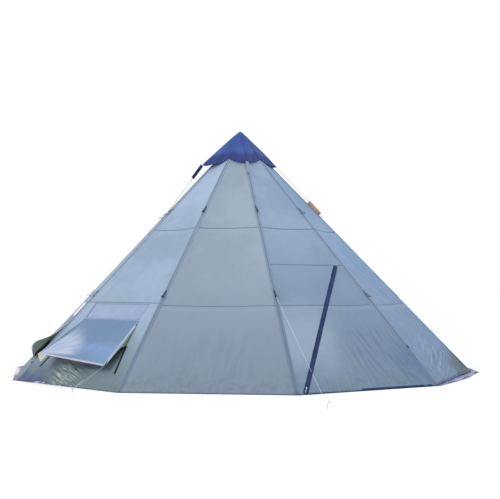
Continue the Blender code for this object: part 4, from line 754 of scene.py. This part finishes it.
def wall_seams():
    """The sewn seams that run level round the tent."""
    pieces, edge = [], BAND_HALF + 0.001
    for number in range(SIDES):
        for height in (SEAM_HEIGHTS[1], DOOR_HEIGHT + 0.012) if number == 0 else SEAM_HEIGHTS:
            half = half_width(height) - edge
            over_window = height == SEAM_HEIGHTS[0] and number in WINDOW_WALLS
            pieces.append(seam_tape(number, -half, half, WINDOW_SEAM_HEIGHT if over_window else height, 60))
        if number == 0:
            # The same cloth seam goes on beside the door at the height of the other walls'
            beside = crossing(offset_line(*ZIP_LINE, ZIP_TAPE_WIDTH + 0.001), level(SEAM_HEIGHTS[0])).x
            pieces.append(seam_tape(0, edge - half_width(SEAM_HEIGHTS[0]), beside, SEAM_HEIGHTS[0], 14))
    finish_piece(join("wall_seam_tapes", pieces))


# Cords: the line of the ridge beside the door, and the line of the front hood

def peg_shank(out):
    return (out * PEG_LEAN + Vector((0, 0, PEG_HEIGHT))).normalized()


def stop_before_peg(way, out):
    """How far before a peg's axis its line ends."""
    shank = peg_shank(out)
    toward = way.dot((out - shank * out.dot(shank)).normalized())
    return (PEG_RADIUS + GAP + GUY_RADIUS * sqrt(1 - toward ** 2)) / toward


def tie_place(peg, out):
    return peg + out * PEG_LEAN * GUY_TIE / PEG_HEIGHT + Vector((0, 0, GUY_TIE))


def knot(name, centre, axis, radius, cord, turns, material):
    """A few tight turns of cord round an axis."""
    axis = axis.normalized()
    side = axis.orthogonal().normalized()
    up, count = axis.cross(side), 12 * turns
    path = []
    for step in range(count + 1):
        turn, rise = 2 * pi * step / 12, (step / count - 0.5) * turns * cord * 2.1
        path.append(centre + axis * rise + (side * cos(turn) + up * sin(turn)) * radius)
    return tube(name, path, cord, material, 6)


def ridge_guy():
    tip = ridge_matrix(0) @ Vector((0, LOWER_TAB / sin(RIDGE_ANGLE), TAB_BASE + TAB_RISE))
    out = Vector((tip.x, tip.y, 0)).normalized()
    tie = tie_place(out * GUY_PEG, out)
    way = (tie - tip).normalized()
    start, end = tip + way * GAP, tie - way * stop_before_peg(way, out)
    points = []
    for share in (step / (GUY_POINTS - 1) for step in range(GUY_POINTS)):
        points.append(start.lerp(end, share) - Vector((0, 0, 4 * GUY_SAG * share * (1 - share))))
    data = bpy.data.curves.new("guy_line_cord", "CURVE")
    data.dimensions = "3D"
    data.bevel_depth, data.bevel_resolution, data.use_fill_caps = GUY_RADIUS, 3, True
    spline = data.splines.new("POLY")
    spline.points.add(len(points) - 1)
    for point, place in zip(spline.points, points):
        point.co = (*place, 1)
    data.materials.append(CORD)
    line = finish_piece(link(bpy.data.objects.new("guy_line_cord", data)), nodes=["ridge_guy_line"])
    tied = knot("guy_line_knot", tie, peg_shank(out), PEG_RADIUS + 0.0016, 0.0014, 3, CORD)
    hitch = knot("guy_line_hitch", start + way * 0.012, way, GUY_RADIUS + 0.0014, 0.0015, 4, CORD)
    finish_piece(tied)
    finish_piece(hitch)


def hood_hinge(side):
    number, lift = HOODS[side][:2]
    return wall_matrix(number) @ frame_matrix((0, HOOD_HEIGHT, GAP), -lift)


def hood_half(down):
    return HOOD_TOP_HALF + (HOOD_HEM_HALF - HOOD_TOP_HALF) * down


def hood_reach(side):
    """Straight distance from a hood's hinge to its hem."""
    return HOOD_LENGTH - (pi * HOODS[side][3] / 2) ** 2 / HOOD_LENGTH


def hood_bow(side, hand):
    """How far a hood bows out, from its left side (-1), where it is tauter, to its right side (1)."""
    return HOODS[side][3] * (HOOD_LEFT_BOW + (1 - HOOD_LEFT_BOW) * (1 + hand) / 2)


def hood_line(side, hand, down):
    """A point of a hood's cloth without its sag, from its left side (-1) to its right side (1)."""
    bow = hood_bow(side, hand) * sin(pi * down ** HOOD_BOW_POWER)
    twist = -HOOD_LENGTH * tan(HOODS[side][2]) * hand * down
    return Vector((hood_half(down) * hand, -hood_reach(side) * down, twist + bow))


def hood_slope(side, hand, down):
    """Directions towards the hem and out of the cloth, at a share of the way down."""
    way = hood_line(side, hand, min(down + 0.01, 1)) - hood_line(side, hand, down - 0.01)
    way = Vector((0, way.y, way.z)).normalized()
    return way, Vector((0, way.z, -way.y))


def hood_guy():
    # The line starts at the right end of the rod, which sits in the hem
    slope = atan2(pi * HOOD_BOW_POWER * hood_bow("front", 1), hood_reach("front"))
    seat = Matrix.Rotation(slope, 3, "X") @ Vector((0, ROD_RADIUS, -2 * GAP - ROD_RADIUS))
    start = hood_hinge("front") @ (hood_line("front", 1, 1) + seat + Vector((HOOD_GUY_RADIUS + GAP, 0, 0)))
    number = HOODS["front"][0]
    peg = wall_matrix(number) @ Vector((HOOD_PEG_ALONG, 0, 0)) + radial(number * TURN, HOOD_PEG_OUT)
    away = Vector((peg.x - start.x, peg.y - start.y, 0)).normalized()
    side, tie = Vector((-away.y, away.x, 0)), tie_place(peg, away)
    radius = PEG_RADIUS + HOOD_GUY_RADIUS + TURN_CLEAR
    near = tie + (side - away) * radius
    points = [start.lerp(near, step / 9) for step in range(9)]
    for angle in (pi * step / 8 for step in range(9)):
        points.append(tie + (side * cos(angle) + away * sin(angle)) * radius)
    last, back = points[-1], tie.lerp(start, HOOD_GUY_BACK) - side * HOOD_GUY_SPREAD
    points += [last.lerp(back, step / 6) for step in range(1, 7)]
    line = tube("hood_line_cord", points, HOOD_GUY_RADIUS, CORD)
    finish_piece(line, "front_hood", ["hood_guy_line"], (tie + Vector((0, 0, 0.06)), start))


ridge_guy()
hood_guy()
for plain in (1, 2, 3, 4, 5, 6, 9):
    build_wall(plain, f"wall_{plain}")
build_wall(0, "door_wall", door=True)
build_wall(8, "front_window_wall", [PANE_HOLE, NET_HOLE])
build_wall(7, "back_window_wall", [PANE_HOLE, NET_HOLE])
wall_seams()


# Ridge webbing: ten bands, the ring round the crown, and the guy tabs

def ridge_bands():
    shape = [(-1, 0), (-1, 0.7), (-0.94, 1), (-0.5, 0.9), (-0.12, 0.95), (-0.05, 1.5), (0.05, 1.5), (0.12, 0.95),
             (0.5, 0.9), (0.94, 1), (1, 0.7), (1, 0), (0.5, 0), (0, 0), (-0.5, 0)]
    pieces, under = [], GAP / cos(BEND)
    for number in range(SIDES):
        rings, uvs = [], []
        for y in np.linspace(BAND_LIFT + BAND_HALF * tan(BEND), RIDGE_HEAD, 90):
            rings.append([(x * BAND_HALF, y, under - abs(x * BAND_HALF) * tan(BEND) + up * WEBBING)
                          for x, up in shape])
            uvs += [(y, (x + 1) / 2) for x, _ in shape]
        pieces.append(loft("band", rings, RIDGE, uvs, ridge_matrix(number)))
    half = half_width(WALL_HEAD) - 0.004
    line = [(x, WALL_HEAD - RING_WIDTH / 2, GAP) for x in np.linspace(-half, half, 8)]
    pieces += [strip("ring", line, UP, RING_WIDTH / 2, WEBBING, RIDGE, wall_matrix(n)) for n in range(SIDES)]
    finish_piece(join("ridge_bands", pieces), nodes=["ridge_webbing"])


def guy_tabs():
    """Loops of webbing sewn on the ridges, with their slack end outwards."""
    pieces, across, base = [], Vector((1, 0, 0)), TAB_BASE + 0.0008
    for number in range(SIDES):
        for foot in (LOWER_TAB / sin(RIDGE_ANGLE), UPPER_TAB / sin(RIDGE_ANGLE)):
            sewn, tip = foot + TAB_LENGTH * 0.80, (foot + 0.004, base + TAB_RISE - 0.004)
            line = [(foot + TAB_LENGTH, base), (sewn, base + 0.0003)]
            for share in np.linspace(0.1, 1, 9):
                z = base + (tip[1] - base) * (share ** 1.15) + 0.002 * sin(pi * share)
                line.append((sewn + (tip[0] - sewn) * share, z))
            line += [(foot - 0.0005, base + TAB_RISE * 0.80), (foot + 0.003, base + TAB_RISE * 0.62)]
            for share in np.linspace(0.15, 1, 7):
                line.append((foot + 0.003 + 0.050 * share, base + TAB_RISE * 0.62 * (1 - share) ** 1.2 + 0.0003))
            line = [Vector((0, *place)) for place in line]
            normals = [way.cross(across).normalized() for _, _, way, _ in travel(line)]
            pieces.append(strip("tab", line, normals, TAB_WIDTH / 2, 0.0014, TAB, ridge_matrix(number),
                                [across] * len(line)))
    finish_piece(join("ridge_guy_tabs", pieces))


# Door

def zip_teeth(low, high, side, height, radius, matrix):
    """A row of teeth from low to high, moved aside and lifted off the wall."""
    count = int((high - low).length / TOOTH_PITCH)
    path = [matrix @ Vector((*(low + side + (high - low) * (s / count)), height)) for s in range(count + 1)]
    return tube("teeth", path, radius, PLASTIC, 5, (1.0, 0.7))


def zip_half(name, hand):
    """Half of the door's zip: a woven tape with its row of teeth along the meeting edge."""
    low, high = crossing(ZIP_LINE, level(WALL_FOOT + DOOR_LIFT)), crossing(ZIP_LINE, level(DOOR_HEIGHT - SEAM_GAP))
    way, half, thick = (high - low).normalized(), ZIP_TAPE_WIDTH / 2, ZIP_TAPE * 0.8
    side = Vector((-way.y, way.x)) * hand
    line = [(*(low + side * (SEAM_GAP + half) + (high - low) * s), GAP) for s in np.linspace(0, 1, 160)]
    halves = [half * (0.94 + 0.05 * sin(n * 0.31) + 0.03 * sin(n * 0.83 + hand)) for n in range(160)]
    tape = strip("tape", line, UP, halves, thick, NAVY, wall_matrix(0))
    teeth = zip_teeth(low, high, side * (SEAM_GAP + TEETH_ASIDE), GAP + thick + TEETH_LIFT, DOOR_TOOTH,
                      wall_matrix(0))
    return join(name, [tape, teeth])


def door():
    foot, head, matrix = level(WALL_FOOT + DOOR_LIFT), level(DOOR_HEIGHT - SEAM_GAP), wall_matrix(0)
    zip_edge, hinge_edge = offset_line(*ZIP_LINE, -SEAM_GAP), offset_line(*HINGE_LINE, SEAM_GAP)
    tape_edge = offset_line(*ZIP_LINE, -ZIP_TAPE_WIDTH - 0.002)
    corners = [crossing(*lines) for lines in ((zip_edge, foot), (hinge_edge, foot), (hinge_edge, head),
                                              (zip_edge, head))]
    columns, rows = 70, 84
    flat = []
    for v in (row / rows for row in range(rows + 1)):
        for u in (column / columns for column in range(columns + 1)):
            low, high = corners[0].lerp(corners[1], u), corners[3].lerp(corners[2], u)
            flat.append((*low.lerp(high, v), u, v))
    flat = np.array(flat)
    x, y, u, v = flat.T
    calm = smooth(u / 0.10) * smooth((1 - u) / 0.10) * smooth((1 - v) / 0.05)
    bulge = 0.006 * ripple(x, y, 5) + 0.002 * ripple(x, y, 6, (0.24, 0.16, 0.11)) - 0.010 * np.sin(pi * u)
    for fold in FOLDS["door"]:
        bulge = bulge + crease(x, y, *fold)
    points = np.column_stack((x, y, np.minimum(bulge * calm, 0.007) - CLOTH / 2))
    cloth = to_object("door_panel", points, quads(columns, rows), WALLS[0], flat[:, :2], matrix)
    thicken(cloth)
    finish_piece(cloth, "door", ["door_cloth"])
    low, high = crossing(tape_edge, foot), corners[1] - Vector((RIM_SHORT, 0))
    line = [(*(low.lerp(high, share) + Vector((0, RIM_HEIGHT))), 0.0) for share in np.linspace(RIM_START, 1, 60)]
    rim = strip("door_rim_tape", line, UP, RIM_HALF, 0.0014, NAVY, matrix)
    finish_piece(rim, "door")
    height = SEAM_HEIGHTS[0]
    ends = crossing(tape_edge, level(height)).x, crossing(hinge_edge, level(height)).x - 0.002
    line = []
    for value in np.linspace(*ends, 40):
        index = np.argmin(np.hypot(x - value, y - height))
        line.append((value, height, points[index, 2] + CLOTH / 2 + 0.0001))
    seam = finish_piece(strip("door_seam_tape", line, UP, SEAM_HALF, TAPE, SEAM, matrix), "door")
    tape = finish_piece(zip_half("door_zip_half", -1), "door", ["door_zip_tape"])
    finish_piece(zip_half("wall_zip_half", 1), nodes=["wall_zip_tape"])
    inner, outer = APOTHEM - SKIRT_TUCK, APOTHEM + SILL_OUT
    half = inner * tan(HALF_TURN) - SEAM_GAP
    line = [(x, -(inner + outer) / 2, 0.0001) for x in np.linspace(-1, 1, 40) * half]
    strap = strip("sill_strap", line, UP, (outer - inner) / 2 - 0.0002, 0.0013, NAVY)
    finish_piece(strap, nodes=["door_sill_strap"])


ridge_bands()
guy_tabs()
door()


# Windows and their hoods

def corner_patch(side, hand, material, width, drop, hinge):
    """A three-cornered patch of doubled cloth that hangs from the end of a hood's hem."""
    def place(u, v):
        point = hood_line(side, hand - hand * u * width / HOOD_HEM_HALF, 1)
        point.x += hand * 0.010 * (1 - u)
        fall = v * drop * (1 - abs(2 * u - 0.9) / 1.1)
        return point + Vector((0, 0.004 - fall * 0.75, CLOTH + 0.002 - fall * 0.66))

    piece = grid(f"{side}_hood_corner_patch", 14, 8, place, material, (width, 1.0), hinge)
    thicken(piece, 0.0012, 1)
    return finish_piece(piece, f"{side}_hood")


def window_sheet(side, kind, hole, material, rows, node_name, matrix):
    """A film or net behind a wall's opening, sewn in round its edge."""
    half, low, high = hole[0] + WINDOW_SEAM, hole[1] - WINDOW_SEAM, hole[2] + WINDOW_SEAM

    def place(u, v):
        return (2 * u - 1) * half, low + (high - low) * v, -CLOTH - GAP - 0.0005

    size = (2 * half, high - low)
    piece = grid(f"{side}_{kind}", 24, rows, place, material, size, matrix)
    thicken(piece, 0.0008)
    finish_piece(piece, nodes=[node_name])


def bindings(hole, material, matrix):
    """The four tapes round an opening."""
    half, low, high = hole
    corners = [(-half, low), (half, low), (half, high), (-half, high)]
    pieces = []
    for (x0, y0), (x1, y1) in zip(corners, corners[1:] + corners[:1]):
        line = [(x0 + (x1 - x0) * s, y0 + (y1 - y0) * s, 0.0) for s in np.linspace(0, 1, 16)]
        pieces.append(strip("binding", line, UP, 0.008, 0.0008, material, matrix))
    return pieces


def hood_edge(side, hand, hinge):
    """The pale tape along a hood's side."""
    line, normals = [], []
    for down in np.linspace(0.02, 0.965, 48):
        normals.append(hood_slope(side, hand, down)[1])
        point = hood_line(side, hand, down) + normals[-1] * (CLOTH + 0.0003)
        line.append(point - Vector((hand * EDGE_HALF, 0, 0)))
    return strip("edge", line, normals, EDGE_HALF, EDGE_TAPE, HIGHLIT_HEM, hinge)


def hood_hem(side, hinge):
    """The sleeve of the hem, and a dark binding that hangs below it over most of its run, partly painted shade
    under the hem.
    """
    line, normals = [], []
    for hand in np.linspace(-1, 1, 50):
        way, out = hood_slope(side, hand, 1)
        line.append(hood_line(side, hand, 1) - way * (HEM_HALF + 0.0005) + out * (CLOTH + 0.0004))
        normals.append(out)
    sleeve = strip(f"{side}_hood_hem", line, normals, HEM_HALF, TAPE, HIGHLIT_HEM, hinge)
    line, normals, falls, halves = [], [], [], []
    for hand in np.linspace(-0.35, 1, 40):
        way, out = hood_slope(side, hand, 1)
        slack = 0.75 + 0.25 * sin(hand * 13) * sin(hand * 5 + 1)
        falls.append((way * 0.5 - out * 0.87).normalized())
        halves.append(0.011 - 0.007 * float(smooth((hand - 0.3) / 0.6)))
        line.append(hood_line(side, hand, 1) + way * 0.0006 + out * 0.0004 + falls[-1] * halves[-1] * slack)
        normals.append(way)
    binding = strip(f"{side}_hood_binding", line, normals, halves, EDGE_TAPE, MAROON_AND_SHADE, hinge, falls)
    return [finish_piece(piece, f"{side}_hood") for piece in (sleeve, binding)]


def hood(side, depth, hinge):
    """A hood's cloth with the tapes on its edges."""
    def place(u, v):
        hand, down = 2 * u - 1, 1 - v
        bow = sin(pi * min(1, down * 0.96)) ** 1.8 * (1 - abs(hand) ** 3) * (1 - 0.5 * hand)
        inside = sin(pi * down) * (1 - hand * hand)
        fold = inside * (0.003 * sin(down * 9 + hand * 4) + 0.002 * sin(hand * 17 + down * 5) * down)
        for start, end, width, height in FOLDS["hood"]:
            fold += float(crease(u * 1.2, v * HOOD_LENGTH, start, end, width, height)) * min(1, v * 8)
        return hood_line(side, hand, down) + Vector((0, 0, fold + CLOTH / 2 - depth * bow))

    cloth = grid(f"{side}_hood_canvas", 72, 72, place, HOOD, (1.2, HOOD_LENGTH), hinge)
    thicken(cloth)
    finish_piece(cloth, f"{side}_hood", [f"{side}_hood_cloth"])
    sleeve, binding = hood_hem(side, hinge)
    if side == "front":
        patch = corner_patch(side, -1, CREAM, 0.170, 0.105, hinge)
    else:
        # The back hood's dark patch is partly painted shade at the end of its hem.
        patch = corner_patch(side, 1, MAROON_AND_SHADE, 0.090, 0.050, hinge)
    edges = join(f"{side}_hood_edges", [hood_edge(side, hand, hinge) for hand in (-1, 1)])
    finish_piece(edges, f"{side}_hood")


# How far each hood's wings are drawn in beside the top of the zip, where along their edge, and over what width
WING_DRAW = {"front": (0.014, 0.93, 0.06), "back": (0.032, 0.88, 0.13)}
# Share of the hood's length, from its top, that has no wing beside it
WING_START = 0.12


def wing(side, name, hand, hinge, lift):
    """A hood's side wing, from its edge back to the top of the side zip, where it stays on the wall."""
    back = Matrix.Rotation(lift, 3, "X") @ Vector((hand * SIDE_ZIP_TOP.x, SIDE_ZIP_TOP.y - HOOD_HEIGHT, 0))
    back.z += 0.0015 + 2 * GAP + CLOTH
    start = Vector((hand * (HOOD_TOP_HALF + WING_CLEAR), 0, 0))
    far, middle, wide = WING_DRAW[side]

    def place(u, v):
        down = WING_START + (1 - WING_START) * u
        edge = hood_line(side, hand, down) + Vector((hand * WING_CLEAR, 0, 0))
        point = edge.lerp(start.lerp(back, down), v)
        bulge = (WING_BULGE + 0.004 * sin(11 * u + 3 * v)) * sin(pi * v) * down
        # Beside the top of the zip the free edge is drawn in, clear of the slider
        drawn = far * exp(-((v - middle) / wide) ** 2) * u ** 4
        return point + Vector((hand * (bulge - drawn + CLOTH / 2), 0, 0))

    piece = grid(f"{side}_hood_side_{name}", 50, 20, place, SHADED_WING, (0.72, 0.3), hinge)
    ends = (hinge @ Vector((hand * 0.64, back.y, back.z + 0.004)),
            hinge @ Vector((hand * HOOD_HEM_HALF, -hood_reach(side), 0)))
    outward = Vector((hand, 0, 0))
    # The wing's half of the side zip runs along its free lower edge
    line, normals, sides, halves = [], [], [], []
    for v in np.linspace(0.05, 0.89, 40):
        up, out = tape_frame(place(1, v + 0.01) - place(1, v - 0.01), place(0.97, v) - place(1, v), outward)
        halves.append(min(0.017, 0.085 * v))
        line.append(place(1, v) + up * (halves[-1] + 0.0005) + out * (CLOTH / 2 + 0.0002))
        normals.append(out)
        sides.append(up)
    tape = strip(f"{side}_hood_zip_{name}", line, normals, halves, TAPE, BLACK, hinge, sides)
    line, normals, sides = [], [], []
    for u in np.linspace(0.0, 0.96, 50):
        way = place(min(u + 0.01, 1), 0) - place(max(u - 0.01, 0), 0)
        inward, out = tape_frame(way, place(u, 0.06) - place(u, 0), outward)
        line.append(place(u, 0) + inward * (EDGE_HALF + 0.0005) + out * (CLOTH / 2 + 0.0003))
        normals.append(out)
        sides.append(inward)
    rim = strip(f"{side}_hood_rim_{name}", line, normals, EDGE_HALF, EDGE_TAPE, HIGHLIT_HEM, hinge, sides)
    finish_piece(rim, f"{side}_hood", ends=ends)
    finish_piece(tape, f"{side}_hood", ends=ends)
    finish_piece(piece, f"{side}_hood", [f"{side}_hood_wing_{name}"], ends)


def side_zip(side, name, hand, matrix):
    """The wall's half of a side zip, wider outwards, where a slider runs on it."""
    top, foot = (Vector((hand * place.x, place.y)) for place in (SIDE_ZIP_TOP, SIDE_ZIP_FOOT))
    outward = Vector((hand * (top.y - foot.y), hand * (foot.x - top.x))).normalized() * 0.006
    line = [(*(foot.lerp(top, s) + outward), GAP) for s in np.linspace(0, 1, 40)]
    tape = strip("tape", line, UP, SIDE_ZIP_WIDTH / 2 + 0.006, EDGE_TAPE, BLACK, matrix)
    teeth = zip_teeth(foot, top, Vector((0, 0)), GAP + TAPE, SIDE_TOOTH, matrix)
    finish_piece(join(f"{side}_side_zip_{name}", [tape, teeth]), nodes=[f"{side}_window_zip_{name}"])


for side, (number, lift, _, _, depth) in HOODS.items():
    matrix, hinge = wall_matrix(number), hood_hinge(side)
    window_sheet(side, "pane_film", PANE_HOLE, PANE, 10, f"{side}_window_pane", matrix)
    window_sheet(side, "net_cloth", NET_HOLE, NET, 16, f"{side}_window_net", matrix)
    tapes = bindings(PANE_HOLE, BINDING, matrix) + bindings(NET_HOLE, BLACK, matrix)
    finish_piece(join(f"{side}_window_bindings", tapes))
    hood(side, depth, hinge)
    for name, hand in (("left", -1), ("right", 1)):
        wing(side, name, hand, hinge, lift)
        side_zip(side, name, hand, matrix)


# Crown and vent cap

def cap_corner_share(turn):
    """0 in the middle of a side of the cap, 1 at its corners."""
    return abs((turn + HALF_TURN) % (2 * TURN) - TURN) / TURN


def cap_point(turn, out):
    corner = cap_corner_share(turn)
    number = floor((turn + HALF_TURN + TURN) / (2 * TURN)) % len(CAP_CORNERS)
    # The ridges of the cap are rounded above and pointed only at its hem
    pointed = corner ** 1.8
    rounded = (1 - cos(pi * corner)) / 2 * (0.90 + 0.10 * corner)
    across = rounded + (pointed - rounded) * out ** 2
    edge = CAP_MIDDLE + (CAP_CORNER * CAP_CORNERS[number] - CAP_MIDDLE) * across
    drop = CAP_CORNER_DROP - (CAP_CORNER_DROP - CAP_MIDDLE_DROP) * (1 - corner) ** 2
    if number == 0:
        drop -= CAP_FRONT_LIFT * corner * out ** 2
    return radial(turn, CAP_TIP_RADIUS + (edge - CAP_TIP_RADIUS) * out, CAP_TIP - drop * out)


def drop_loose(piece, open_top=None):
    """Drop points that no face uses; a top within a radius is closed first."""
    work = bmesh.new()
    work.from_mesh(piece.data)
    if open_top:
        bmesh.ops.remove_doubles(work, verts=work.verts, dist=1e-5)
        edges = [e for e in work.edges if e.is_boundary and e.calc_length() and
                 max(hypot(v.co.x, v.co.y) for v in e.verts) < open_top]
        bmesh.ops.holes_fill(work, edges=edges, sides=0)
    bmesh.ops.delete(work, geom=[v for v in work.verts if not v.link_faces], context="VERTS")
    work.to_mesh(piece.data)
    work.free()


def cap():
    around = 200

    def place(u, v):
        turn = 2 * pi * u
        # Cloth draws in between the taut corners, and its hem flares a little
        draw = 0.008 * sin(pi * v)
        draw += 0.003 * sin(turn * 23) * v * v * (1 - cap_corner_share(turn) ** 4)
        draw += 0.003 * sin(turn * 11 + 5 * v) * sin(pi * v)
        return cap_point(turn, v) + radial(turn, 1, 0.7).normalized() * draw - Vector((0, 0, CLOTH / 2))

    cloth = grid("cap_panels", around, 36, place, CAP, (3.0, 0.6), closed=True)
    drop_loose(cloth, CAP_TIP_RADIUS * 1.2)
    thicken(cloth)
    finish_piece(cloth, nodes=["vent_cap"])
    hem = [place(step / around, 1.0) for step in range(around)]
    line, normals, sides = [], [], []
    for number in (*range(around), 0):
        way = hem[(number + 1) % around] - hem[number - 1]
        inward, out = tape_frame(way, place(number / around, 0.97) - hem[number], UP)
        line.append(hem[number] + inward * (CAP_HEM_HALF + 0.0005) + out * 0.0008)
        normals.append(out)
        sides.append(inward)
    parts = [strip("hem", line, normals, CAP_HEM_HALF, TAPE, CAP_TAPE, None, sides)]
    for turn in (number * TURN - HALF_TURN for number in range(0, SIDES, 2)):
        out, share = radial(turn, 1, 1).normalized(), turn / (2 * pi) % 1
        line = [place(share, v) + out * 0.0010 for v in np.linspace(0.10, 0.99, 30)]
        across = Vector((cos(turn), sin(turn), 0))
        parts.append(strip("rib", line, out, 0.004, 0.0006, CAP_TAPE, None, [across] * 30))
    tapes = finish_piece(join("cap_tapes", parts))


def crown():
    inward = (CLOTH + GAP) / sin(WALL_ANGLE)
    wide = (CROWN_RADIUS + CROWN_OVERLAP - inward) / cos(HALF_TURN)
    narrow = (CROWN_TOP_RADIUS - inward) / cos(HALF_TURN)
    low = PEAK_HEIGHT * (1 - (CROWN_RADIUS + CROWN_OVERLAP) / APOTHEM)
    high = PEAK_HEIGHT * (1 - CROWN_TOP_RADIUS / APOTHEM) - GAP

    def place(u, v):
        number = min(int(u * SIDES), SIDES - 1)
        a, b = radial(number * TURN - HALF_TURN, 1), radial(number * TURN + HALF_TURN, 1)
        return a.lerp(b, u * SIDES - number) * (wide + (narrow - wide) * v - 0.0006) + UP * (low + (high - low) * v)

    net = grid("crown_netting", 80, 16, place, NET, (1.3, 0.26), closed=True)
    drop_loose(net)
    thicken(net, 0.0006)
    finish_piece(net, nodes=["crown_net"])


# For each tie: how far it is turned about its own run, its width, and its webbing and cord. Tie 1's webbing is low.
TIES = ((0, 1.0, PALE, PALE_CORD), (80, 1.3, TAN, PALE_CORD), (0, 1.0, NAVY, DARK_CORD), (0, 1.0, NAVY, DARK_CORD),
        (75, 1.3, NAVY, DARK_CORD))
LOW_TIE = 1


def ties():
    for count, (twist, wide, webbing, fibre) in enumerate(TIES):
        turn, low = 2 * count * TURN - HALF_TURN, count == LOW_TIE
        foot, rise = UPPER_TAB / sin(RIDGE_ANGLE), TAB_BASE + TAB_RISE * 0.55 + TIE_CORD + TIE_GAP
        end = ridge_matrix(2 * count) @ Vector((0, foot + TAB_LENGTH * TIE_END, rise))
        corner = cap_point(turn, 1)
        start = corner - Vector((0, 0, CLOTH)) + (end - corner).normalized() * (TIE_GAP + CLOTH)
        way = (end - start).normalized()
        across = Matrix.Rotation(radians(twist), 3, way) @ Vector((cos(turn), sin(turn), 0))
        normal = across.cross(way).normalized()
        if normal.z < 0:
            normal.negate()
        top = end - way * TIE_LENGTH if low else start
        line = [top + way * TIE_LENGTH * s - normal * 0.0010 for s in np.linspace(0, 1, 24)]
        tie = strip("webbing", line, normal, TIE_WIDTH * wide / 2, 0.0019, webbing, None, [across] * 24)
        sewn = (TIE_LENGTH - 0.025) / (end - start).length
        line = [start.lerp(end, s) for s in np.linspace(*((0, 1 - sewn) if low else (sewn, 1)), 24)]
        cord = tube("cord", line, TIE_CORD, fibre)
        knotted = knot("knot", line[-3 if low else 2], way, 0.0036, 0.0018, 3, fibre)
        finish_piece(join(f"cap_tie_strap_{count}", [tie, cord, knotted]),
                     nodes=[f"cap_tie_{count}"])


# Ground skirt

def foot_point(first, count, along, distance, height):
    """A point of the skirt: along its run of so many walls, out from their foot, and up."""
    run = along * count
    number = min(int(run), count - 1)
    radius, turn = APOTHEM + distance, (first + number) * TURN
    half = radius * tan(HALF_TURN)
    side = (2 * (run - number) - 1) * half
    if along in (0, 1):
        side *= 1 - SEAM_GAP / half
    return radial(turn, radius, height) + radial(turn + pi / 2, side)


def skirts():
    def outer(u, v):
        loose, flat = max(0.0, (v * 5 - 1) / 4), min(1.0, v * 5)
        reach = float(np.interp(u * (len(SKIRT_REACH) - 1), range(len(SKIRT_REACH)), SKIRT_REACH))
        folds = reach * loose * (1 - cos(2 * pi * SKIRT_FOLDS * SKIRT_WALLS * u)) / 2
        fine = (0.5 + 0.5 * sin(u * 351 + 4 * v) * sin(u * 97 + 1)) * loose
        distance = -SKIRT_TUCK + flat * (SKIRT_TUCK + SKIRT_FLAT) + loose * (SKIRT_WIDTH * reach - SKIRT_FLAT)
        height = CLOTH / 2 + SKIRT_FOLD * folds * (0.85 + 0.15 * sin(9 * v)) + 0.007 * fine * reach
        return foot_point(1, SKIRT_WALLS, u, distance - SKIRT_WAVE * folds - 0.004 * fine, height)

    def inner(u, v):
        distance = SKIRT_TUCK - v * (SKIRT_TUCK + SKIRT_WIDTH)
        x = (2 * (2 * u % 1) - 1) * HALF_SIDE
        lift = float(foot_lift(8 if u < 0.5 else 9, x, 0.0)) * sin(WALL_ANGLE)
        drawn_up = lift * exp(-((distance + lift) / 0.022) ** 2)
        return foot_point(1 + SKIRT_WALLS, 2, u, distance, CLOTH / 2 + 0.9 * drawn_up)

    wide = SKIRT_WIDTH + SKIRT_TUCK
    for name, columns, rows, place, walls, run, rests_on, node_name in (
            ("skirt_outside", 70 * SKIRT_WALLS, 22, outer, SKIRT_WALLS, None, ["wall_1", "wall_6"], "skirt_outer"),
            ("skirt_inside", 120, 34, inner, 2, 4.2, ["wall_9"], "skirt_inner")):
        length = 2 * HALF_SIDE * walls
        piece = grid(name, columns, rows, place, SKIRT, (run or length, wide))
        thicken(piece)
        finish_piece(piece, nodes=[node_name])


cap()
crown()
ties()
skirts()

# Rigid CAD pieces that stay as they are
for material, names in (
        (ALUMINIUM, ["pole_upper_tube", "pole_lower_tube"]),
        (STEEL, ["ridge_guy_peg", "hood_guy_peg", "door_zip_slider", "door_zip_pull"]),
        (PLASTIC, ["pole_lock_collar", "pole_top_plug", "apex_plate", "guy_runner"]),
        (PLASTIC, [f"{side}_window_slider_{hand}" for side in HOODS for hand in ("left", "right")]),
        (RUBBER, ["pole_foot"]), (ROD, ["front_hood_rod", "back_hood_rod"]),
        (TOGGLE, ["door_toggle", "front_hood_toggle", "back_hood_toggle"])):
    for piece in (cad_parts[name] for name in names):
        if not piece.material_slots:
            piece.data.materials.append(material)
        for slot in piece.material_slots:
            slot.link = "OBJECT"
            slot.material = material

# Floor and light
pale = Paint("pale_floor", Roughness=0.9, Base_Color=(0.88, 0.88, 0.88, 1)).material
to_object("floor", [(-80, -80, 0), (80, -80, 0), (80, 80, 0), (-80, 80, 0)], [(0, 1, 2, 3)], pale,
                   matrix=Matrix.Translation((0, 0, -0.0005)))
world = bpy.data.worlds.new("studio")
bpy.context.scene.world = world
world.use_nodes = True
world.node_tree.nodes["Background"].inputs["Color"].default_value = (1.0, 1.0, 1.0, 1)
world.node_tree.nodes["Background"].inputs["Strength"].default_value = 1.0
bpy.context.scene.view_settings.view_transform = "Standard"
# Azimuth, elevation, strength, angle and colour of the lamps
for name, azimuth, elevation, strength, angle, colour in (("key", -95, 35, 1.5, 25, (0.94, 0.98, 1.0)),
                                                          ("fill", 75, 35, 0.7, 35, (0.35, 0.75, 1.2))):
    lamp = bpy.data.lights.new(name, "SUN")
    lamp.energy, lamp.angle, lamp.color = strength, radians(angle), colour
    toward = radial(radians(azimuth), cos(radians(elevation)), sin(radians(elevation)))
    link(bpy.data.objects.new(name, lamp)).rotation_euler = toward.to_track_quat("Z", "Y").to_euler()
